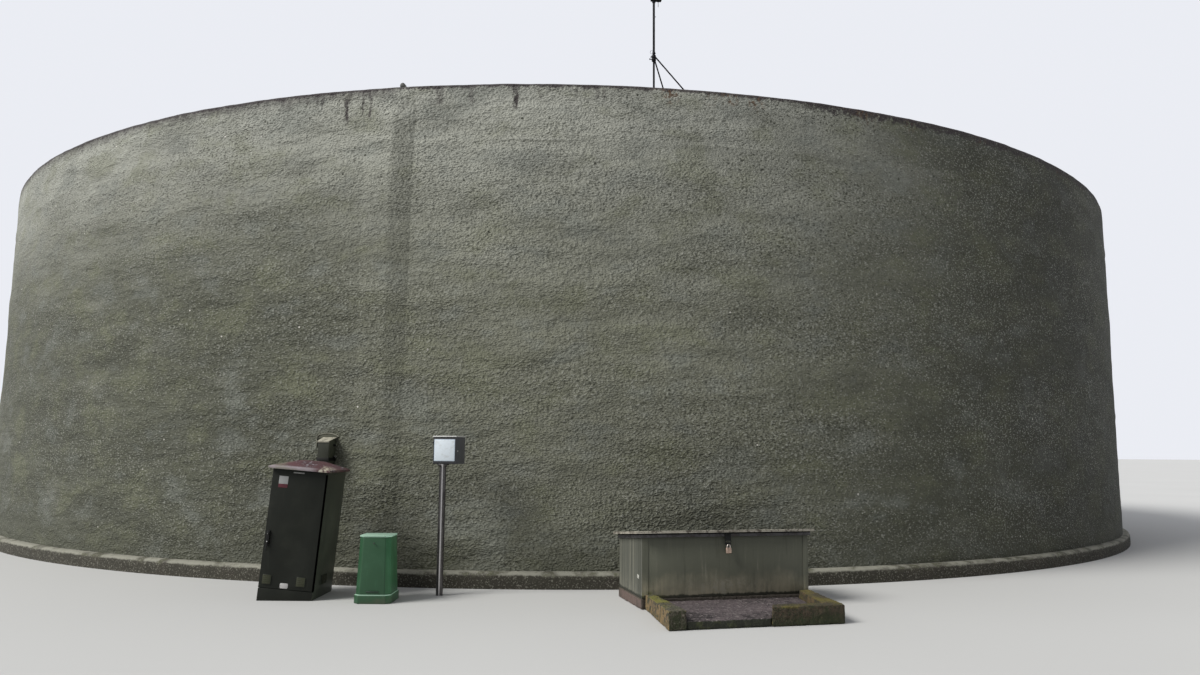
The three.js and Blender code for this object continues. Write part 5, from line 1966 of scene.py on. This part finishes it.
@dataclass
class ServiceCabinet:
    """The leaning service cabinet with its door, latch, vents, plates and hipped lid."""

    stand: Stand = Stand(-3.208, -13.843, 0.03, -2.0, 4.55)
    width: float = 0.627
    height: float = 1.44
    door_foot: float = 0.095
    vent_foot: float = 0.14
    vent_height: float = 0.104
    slats: int = 5
    latch_x: float = 0.044
    knobs: tuple[tuple[float, float], ...] = ((0.706, 0.017), (0.61, 0.016))
    door_body: str = "cabinet_leaf"
    # flank and flank_fade paint light onto the cabinet's right side, more strongly low down.
    paint: Finish = DarkPaint(
        tone=(0.0105, 0.012, 0.009), chalk=(0.022, 0.0245, 0.018), flank=7.0, flank_fade=0.5, sheen=0.2,
    )
    vent_paint: Finish = DarkPaint(
        tone=(0.045, 0.048, 0.03), chalk=(0.075, 0.078, 0.045), roughness=0.7, sheen=0.2,
    )
    black: Finish = DarkPaint(tone=(0.005,) * 3, chalk=(0.01,) * 3, roughness=0.5, sheen=0.3)
    shadow: Finish = DarkPaint(tone=(0.001,) * 3, chalk=(0.003,) * 3, roughness=0.9, sheen=0.0)

    def __post_init__(self) -> None:
        """Works out the cabinet's own frame and half its width."""
        self.here = self.stand.matrix()
        self.half = self.width / 2

    def louvres(self, sketch: Sketch, middle: float, wide: float, place: Place) -> None:
        """Adds a vent: its slats, and the sheet that they stand a little proud of.

        Args:
            sketch: The sketch that takes them.
            middle: The vent's middle, along the panel.
            wide: Its width.
            place: Turns a place along the panel, a depth and a height into a point.
        """
        rows = []
        for index in range(self.slats):
            height = self.vent_foot + self.vent_height * (index + 0.6) / (self.slats + 0.2)
            rows.append((0.01, 0.0162, height, height + 0.0065, 0.001))
        rows.append((0.002, 0.0132, self.vent_foot + 0.002, self.vent_foot + self.vent_height - 0.002, 0.0003))
        for inset, proud, low, high, bevel in rows:
            start = place(middle - wide / 2 + inset, 0.0122, low)
            end = place(middle + wide / 2 - inset, proud, high)
            sketch.block([min(pair) for pair in zip(start, end)], [max(pair) for pair in zip(start, end)], bevel)

    def build_body(self) -> None:
        """Makes the carcass, its side vent and a black strip of painted shadow in the gap behind the door's right
        edge.
        """
        shell = Sketch().node("cabinet_body", 0.0035, 3).place("cabinet_shell")
        settle(shell, TANK, self.paint, ["cabinet_body"])
        vents, half = Sketch(), self.half
        self.louvres(vents, 0.352, 0.19, lambda along, out, height: (half + out, along, height))
        settle(vents.place("cabinet_side_louvres", self.here), TANK, self.vent_paint)
        # Painted shadow: a black strip stands for the shade in the gap behind the door's right edge.
        top = self.height - 0.03
        gap = Sketch().block((half - 0.003, 0.0246, self.door_foot), (half + 0.0006, 0.042, top), 0.0004)
        settle(gap.place("cabinet_door_shadow", self.here), TANK, self.shadow)

    def build_door(self) -> None:
        """Makes the door with its two vents and a black strip of painted shadow on its right edge."""
        door = Sketch().node("cabinet_door", 0.003, 3).place("cabinet_door_leaf")
        settle(door, self.door_body, self.paint, ["cabinet_door"])
        vents, half = Sketch(), self.half
        for middle in (0.088 - half, half - 0.15):
            self.louvres(vents, middle, 0.096, lambda along, out, height: (along, -out, height))
        settle(vents.place("cabinet_door_louvres", self.here), self.door_body, self.vent_paint)
        # Painted shadow: a black strip on the door's right edge stands for the shade of the gap beside it.
        top = self.height - 0.03
        rim = Sketch().block((half - 0.011, -0.0006, self.door_foot), (half + 0.0005, 0.02, top), 0.0003)
        settle(rim.place("cabinet_door_edge_shadow", self.here), self.door_body, self.shadow)

    def build_plates(self) -> None:
        """Makes the blank plates on the door, without any lettering."""
        pale = BlankPanel(tone=(0.28, 0.285, 0.28), dirt=(0.13, 0.115, 0.115))
        red = BlankPanel(tone=(0.075, 0.006, 0.014), dirt=(0.05, 0.014, 0.016))
        plates = (
            ("cabinet_notice", 0.082, 0.188, 1.27, 1.36, 0.0016, 0.0006, pale),
            ("cabinet_notice_band", 0.082, 0.188, 1.228, 1.2698, 0.0016, 0.0006, red),
            ("cabinet_bar", 0.24, 0.365, 1.402, 1.417, 0.0012, 0.0004, BlankPanel(tone=(0.2, 0.2, 0.19))),
        )
        for name, left, right, low, high, proud, bevel, finish in plates:
            plate = Sketch().block((left - self.half, -proud, low), (right - self.half, -0.0002, high), bevel)
            settle(plate.place(name, self.here), self.door_body, finish)
        left, right = 0.245 - self.half, 0.337 - self.half
        foot = self.door_foot
        low_plate = Sketch().block((left, -0.0016, foot + 0.018), (right, -0.0002, foot + 0.06), 0.0005)
        low_plate.block((left + 0.006, -0.0019, foot + 0.01), (right - 0.006, -0.0002, foot + 0.068), 0.0005)
        for x in (left + 0.006, right - 0.006):
            low_plate.rod((x, -0.0012, foot + 0.039), (x, -0.0034, foot + 0.039), 0.004, 12, 0.0006)
        chalky = BlankPanel(tone=(0.44, 0.43, 0.42), dirt=(0.2, 0.19, 0.17))
        settle(low_plate.place("cabinet_low_plate", self.here), self.door_body, chalky)

    def build_latch(self) -> None:
        """Makes the latch: its plate, two round knobs and the drop handle below them."""
        latch = Sketch().node("cabinet_latch", 0.002, 3).place("latch_plate")
        settle(latch, self.door_body, self.black, ["cabinet_latch"])
        x = self.latch_x - self.half
        knobs = Sketch()
        for height, radius in self.knobs:
            knobs.rod((x, -0.021, height), (x, -0.03, height), radius, 32, 0.003)
        knobs.block((x - 0.007, -0.034, 0.508), (x + 0.007, -0.0265, 0.6), 0.003, 3)
        settle(knobs.place("latch_knobs", self.here), self.door_body, self.black)
        key = Sketch().rod((x, -0.0295, 0.612), (x, -0.0335, 0.612), 0.0065, 20, 0.001)
        key.rod((x - 0.004, -0.0295, 0.7), (x - 0.004, -0.032, 0.7), 0.003, 12, 0.0006)
        settle(key.place("latch_barrel", self.here), self.door_body, BareMetal(tone=(0.7, 0.7, 0.68)))

    def build_lid(self) -> None:
        """Makes the hipped lid with its folded lip."""
        lid = Sketch().node("cabinet_lid", 0.004, 3).place("cabinet_roof")
        settle(lid, TANK, FadedLidPaint(), ["cabinet_lid"])

    def build(self) -> None:
        """Makes the cabinet's pieces."""
        self.build_body()
        self.build_door()
        self.build_plates()
        self.build_latch()
        self.build_lid()


@dataclass
class SamplingPoint:
    """The sampling box with its door, plain panel, roof plate and lock, on a steel post."""

    stand: Stand = Stand(-1.518, -13.42, 0.0, -15.5)
    post_radius: float = 0.041
    collar_radius: float = 0.074
    collar_thickness: float = 0.016
    box_size: float = 0.29
    shift_x: float = 0.04
    shift_y: float = 0.085
    foot: float = 1.544
    top: float = 1.868
    lock: tuple[float, float] = (0.05, 1.7)
    hinge_inset: float = 0.07
    door_body: str = "sampling_leaf"

    def build(self) -> None:
        """Makes the post, the box and its fittings."""
        here = self.stand.matrix()
        x0 = self.shift_x - self.box_size / 2
        x1 = x0 + self.box_size
        y0 = self.shift_y - self.box_size / 2
        under = self.foot - GAP
        post = Sketch().rod((0, 0, 0.0), (0, 0, under - 0.004), self.post_radius, 64)
        post.rod((0, 0, under - self.collar_thickness), (0, 0, under), self.collar_radius, 64, 0.003)
        weld, weld_top = self.post_radius + 0.001, under - self.collar_thickness + 0.001
        post.rod((0, 0, under - 0.034), (0, 0, weld_top), weld, 48, 0.0, self.post_radius + 0.008)
        # glint paints a bright reflection streak down the post.
        steel = BareMetal(tone=(0.12, 0.114, 0.114), dull=(0.048, 0.045, 0.045), roughness=0.3, glint=0.02)
        settle(post.place("post_tube", here, 40.0), TANK, steel, ["sampling_post"])
        # flank paints light onto the box's right side.
        dark = DarkPaint(tone=(0.026, 0.027, 0.03), chalk=(0.045, 0.045, 0.048), flank=3.2, sheen=0.35)
        shell = Sketch().node("sampling_box", 0.002).place("sampling_shell")
        settle(shell, TANK, dark, ["sampling_box"])
        door = Sketch().node("sampling_door", 0.002, 3).place("sampling_leaf_panel")
        settle(door, self.door_body, dark, ["sampling_door"])
        blue = BlankPanel(tone=(0.5, 0.58, 0.66), dirt=(0.34, 0.38, 0.42))
        sheets = (
            ("sampling_panel_border", 0.012, 0.0022, 0.0002, 0.035, 0.028, 0.0008, blue),
            ("sampling_panel", 0.02, 0.0032, 0.0018, 0.043, 0.036, 0.0006, BlankPanel(tone=(0.6, 0.66, 0.71))),
        )
        for name, edge, proud, behind, above, below, bevel, finish in sheets:
            corner = (x1 - edge, y0 - behind, self.top - below)
            sheet = Sketch().block((x0 + edge, y0 - proud, self.foot + above), corner, bevel)
            settle(sheet.place(name, here), self.door_body, finish)
        roof = Sketch().node("sampling_roof", 0.0035, 3).place("sampling_roof_plate")
        bright = BlankPanel(tone=(0.62, 0.62, 0.6), dirt=(0.4, 0.39, 0.37))
        settle(roof, TANK, bright, ["sampling_roof"])
        inward, height = self.lock
        y = y0 + inward
        lock = Sketch().rod((x1 + 0.0005, y, height), (x1 + 0.009, y, height), 0.011, 24, 0.0015)
        lock.block((x1 + 0.008, y - 0.0025, height - 0.007), (x1 + 0.0105, y + 0.0025, height + 0.007), 0.0004)
        settle(lock.place("sampling_lock", here), TANK, BareMetal(tone=(0.6, 0.6, 0.58)))
        hinge = Sketch()
        for height in (self.foot + self.hinge_inset, self.top - self.hinge_inset):
            hinge.rod((x0, y0, height - 0.022), (x0, y0, height + 0.022), 0.005, 16, 0.0008)
        settle(hinge.place("sampling_hinges", here), self.door_body, dark)


@dataclass
class ServicePillar:
    """The green service pillar: skirt, tapering body, flange line, slot and bleached cap."""

    stand: Stand = Stand(-2.182, -14.05, 0.0, -2.0)
    foot_top: float = 0.092

    def build(self) -> None:
        """Makes the pillar's pieces."""
        here = self.stand.matrix()
        green = MouldedPlastic()
        pale = MouldedPlastic(tone=(0.25, 0.4, 0.3), bleached=(0.36, 0.52, 0.42), roughness=0.5)
        copies = (
            ("pillar_skirt", "pillar_foot", 0.006, 3, Slot.GREEN, green),
            ("pillar_body", "pillar_shell", 0.007, 4, Slot.GREEN, green),
            ("pillar_cap", "pillar_cap_shell", 0.005, 3, Slot.PALE_GREEN, pale),
        )
        for node, name, bevel, segments, group, finish in copies:
            settle(Sketch().node(node, bevel, segments).place(name), TANK, finish, [node])
        flange = Sketch()
        outline = [
            (-0.205, 0.049), (-0.151, -0.005), (0.151, -0.005), (0.205, 0.049), (0.205, 0.434), (-0.205, 0.434),
        ]
        flange.prism(outline, self.foot_top - 0.004, self.foot_top + 0.007, 0.002)
        settle(flange.place("pillar_flange", here), TANK, pale)
        slot = Sketch().block((-0.07, -0.0005, 0.125), (0.07, 0.016, 0.137), 0.002)
        slot.rod((0.0, 0.018, 0.66), (0.0, 0.03, 0.66), 0.011, 5, 0.001)
        settle(slot.place("pillar_slot", here), TANK, DarkPaint(tone=(0.012, 0.03, 0.018)))


@dataclass
class Studio:
    """The camera, the pale floor and the soft light."""

    eye: tuple[float, float, float] = (0.0, -24.461, 1.7)
    lens: float = 27.0
    pitch: float = 0.12667
    yaw: float = 0.03341
    roll: float = 0.00745
    floor_size: float = 900.0
    floor_height: float = -0.0005
    sky: Colour = (0.92, 0.94, 1.0)
    behind: float = 0.9
    front_left: float = 0.5
    front_right: float = 0.24
    key_strength: float = 3.4
    key_angle: float = 26.0
    key_colour: Colour = (1.0, 0.985, 0.95)
    key_towards: Point = (0.75, 0.36, -0.75)

    def build_camera(self) -> None:
        """Places the camera where the photograph was taken from."""
        data = bpy.data.cameras.new("view")
        data.lens = self.lens
        data.sensor_width = 36.0
        data.clip_end = 2000.0
        data.dof.use_dof = False
        camera = bpy.data.objects.new("view", data)
        turn = Matrix.Rotation(-self.yaw, 4, "Z") @ Matrix.Rotation(math.pi / 2 + self.pitch, 4, "X")
        camera.matrix_world = Matrix.Translation(self.eye) @ turn @ Matrix.Rotation(self.roll, 4, "Z")
        bpy.context.scene.collection.objects.link(camera)
        bpy.context.scene.camera = camera

    def build_floor(self) -> None:
        """Lays the plain pale floor."""
        half = self.floor_size / 2
        corners = ((-half, -half), (half, -half), (half, half), (-half, half))
        points = np.array([(x, y, self.floor_height) for x, y in corners])
        floor = object_of("floor", points, [(0, 1, 2, 3)])
        graph = Graph(bpy.data.materials.new("pale_floor"))
        colour = graph.blend((0.5, 0.5, 0.49), (0.55, 0.55, 0.54), graph.noise(6.0, 2.0, 0.5))
        floor.data.materials.append(graph.surface(colour, 0.9))

    def build_sky(self) -> None:
        """Sets a pale sky that is brightest behind the tank and dimmest to the front right."""
        graph = Graph(bpy.data.worlds.new("sky"), coordinate=0)
        front = self.front_right + graph.axis(0).rise(0.6, -0.7) * (self.front_left - self.front_right)
        level = front + (self.behind - front) * graph.axis(1).rise(-0.2, 0.45)
        light = graph.node("ShaderNodeBackground", inputs={"Color": self.sky, "Strength": level})
        graph.close(light, "ShaderNodeOutputWorld")
        bpy.context.scene.world = graph.owner

    def build_key(self) -> None:
        """Hangs one broad soft key light at the upper left."""
        key = bpy.data.lights.new("key", "SUN")
        key.energy = self.key_strength
        key.angle = math.radians(self.key_angle)
        key.color = self.key_colour
        lamp = bpy.data.objects.new("key", key)
        lamp.rotation_euler = Vector(self.key_towards).to_track_quat("-Z", "Y").to_euler()
        bpy.context.scene.collection.objects.link(lamp)

    def build(self) -> None:
        """Makes the camera, floor and light, and keeps colours as they are."""
        self.build_camera()
        self.build_floor()
        self.build_sky()
        self.build_key()
        bpy.context.scene.view_settings.view_transform = "Standard"


def main() -> None:
    """Builds the stage and every sub-assembly in order."""
    logging.basicConfig(level=logging.INFO, format="%(message)s")
    for part in (
        Studio(), SprayedWall(), RoofAndFoot(), Mast(), WallBox(),
        ValveChamber(), ServiceCabinet(), SamplingPoint(), ServicePillar(),
    ):
        LOG.info("building %s", type(part).__name__)
        part.build()
    bpy.context.view_layer.update()


if __name__ == "__main__":
    main()
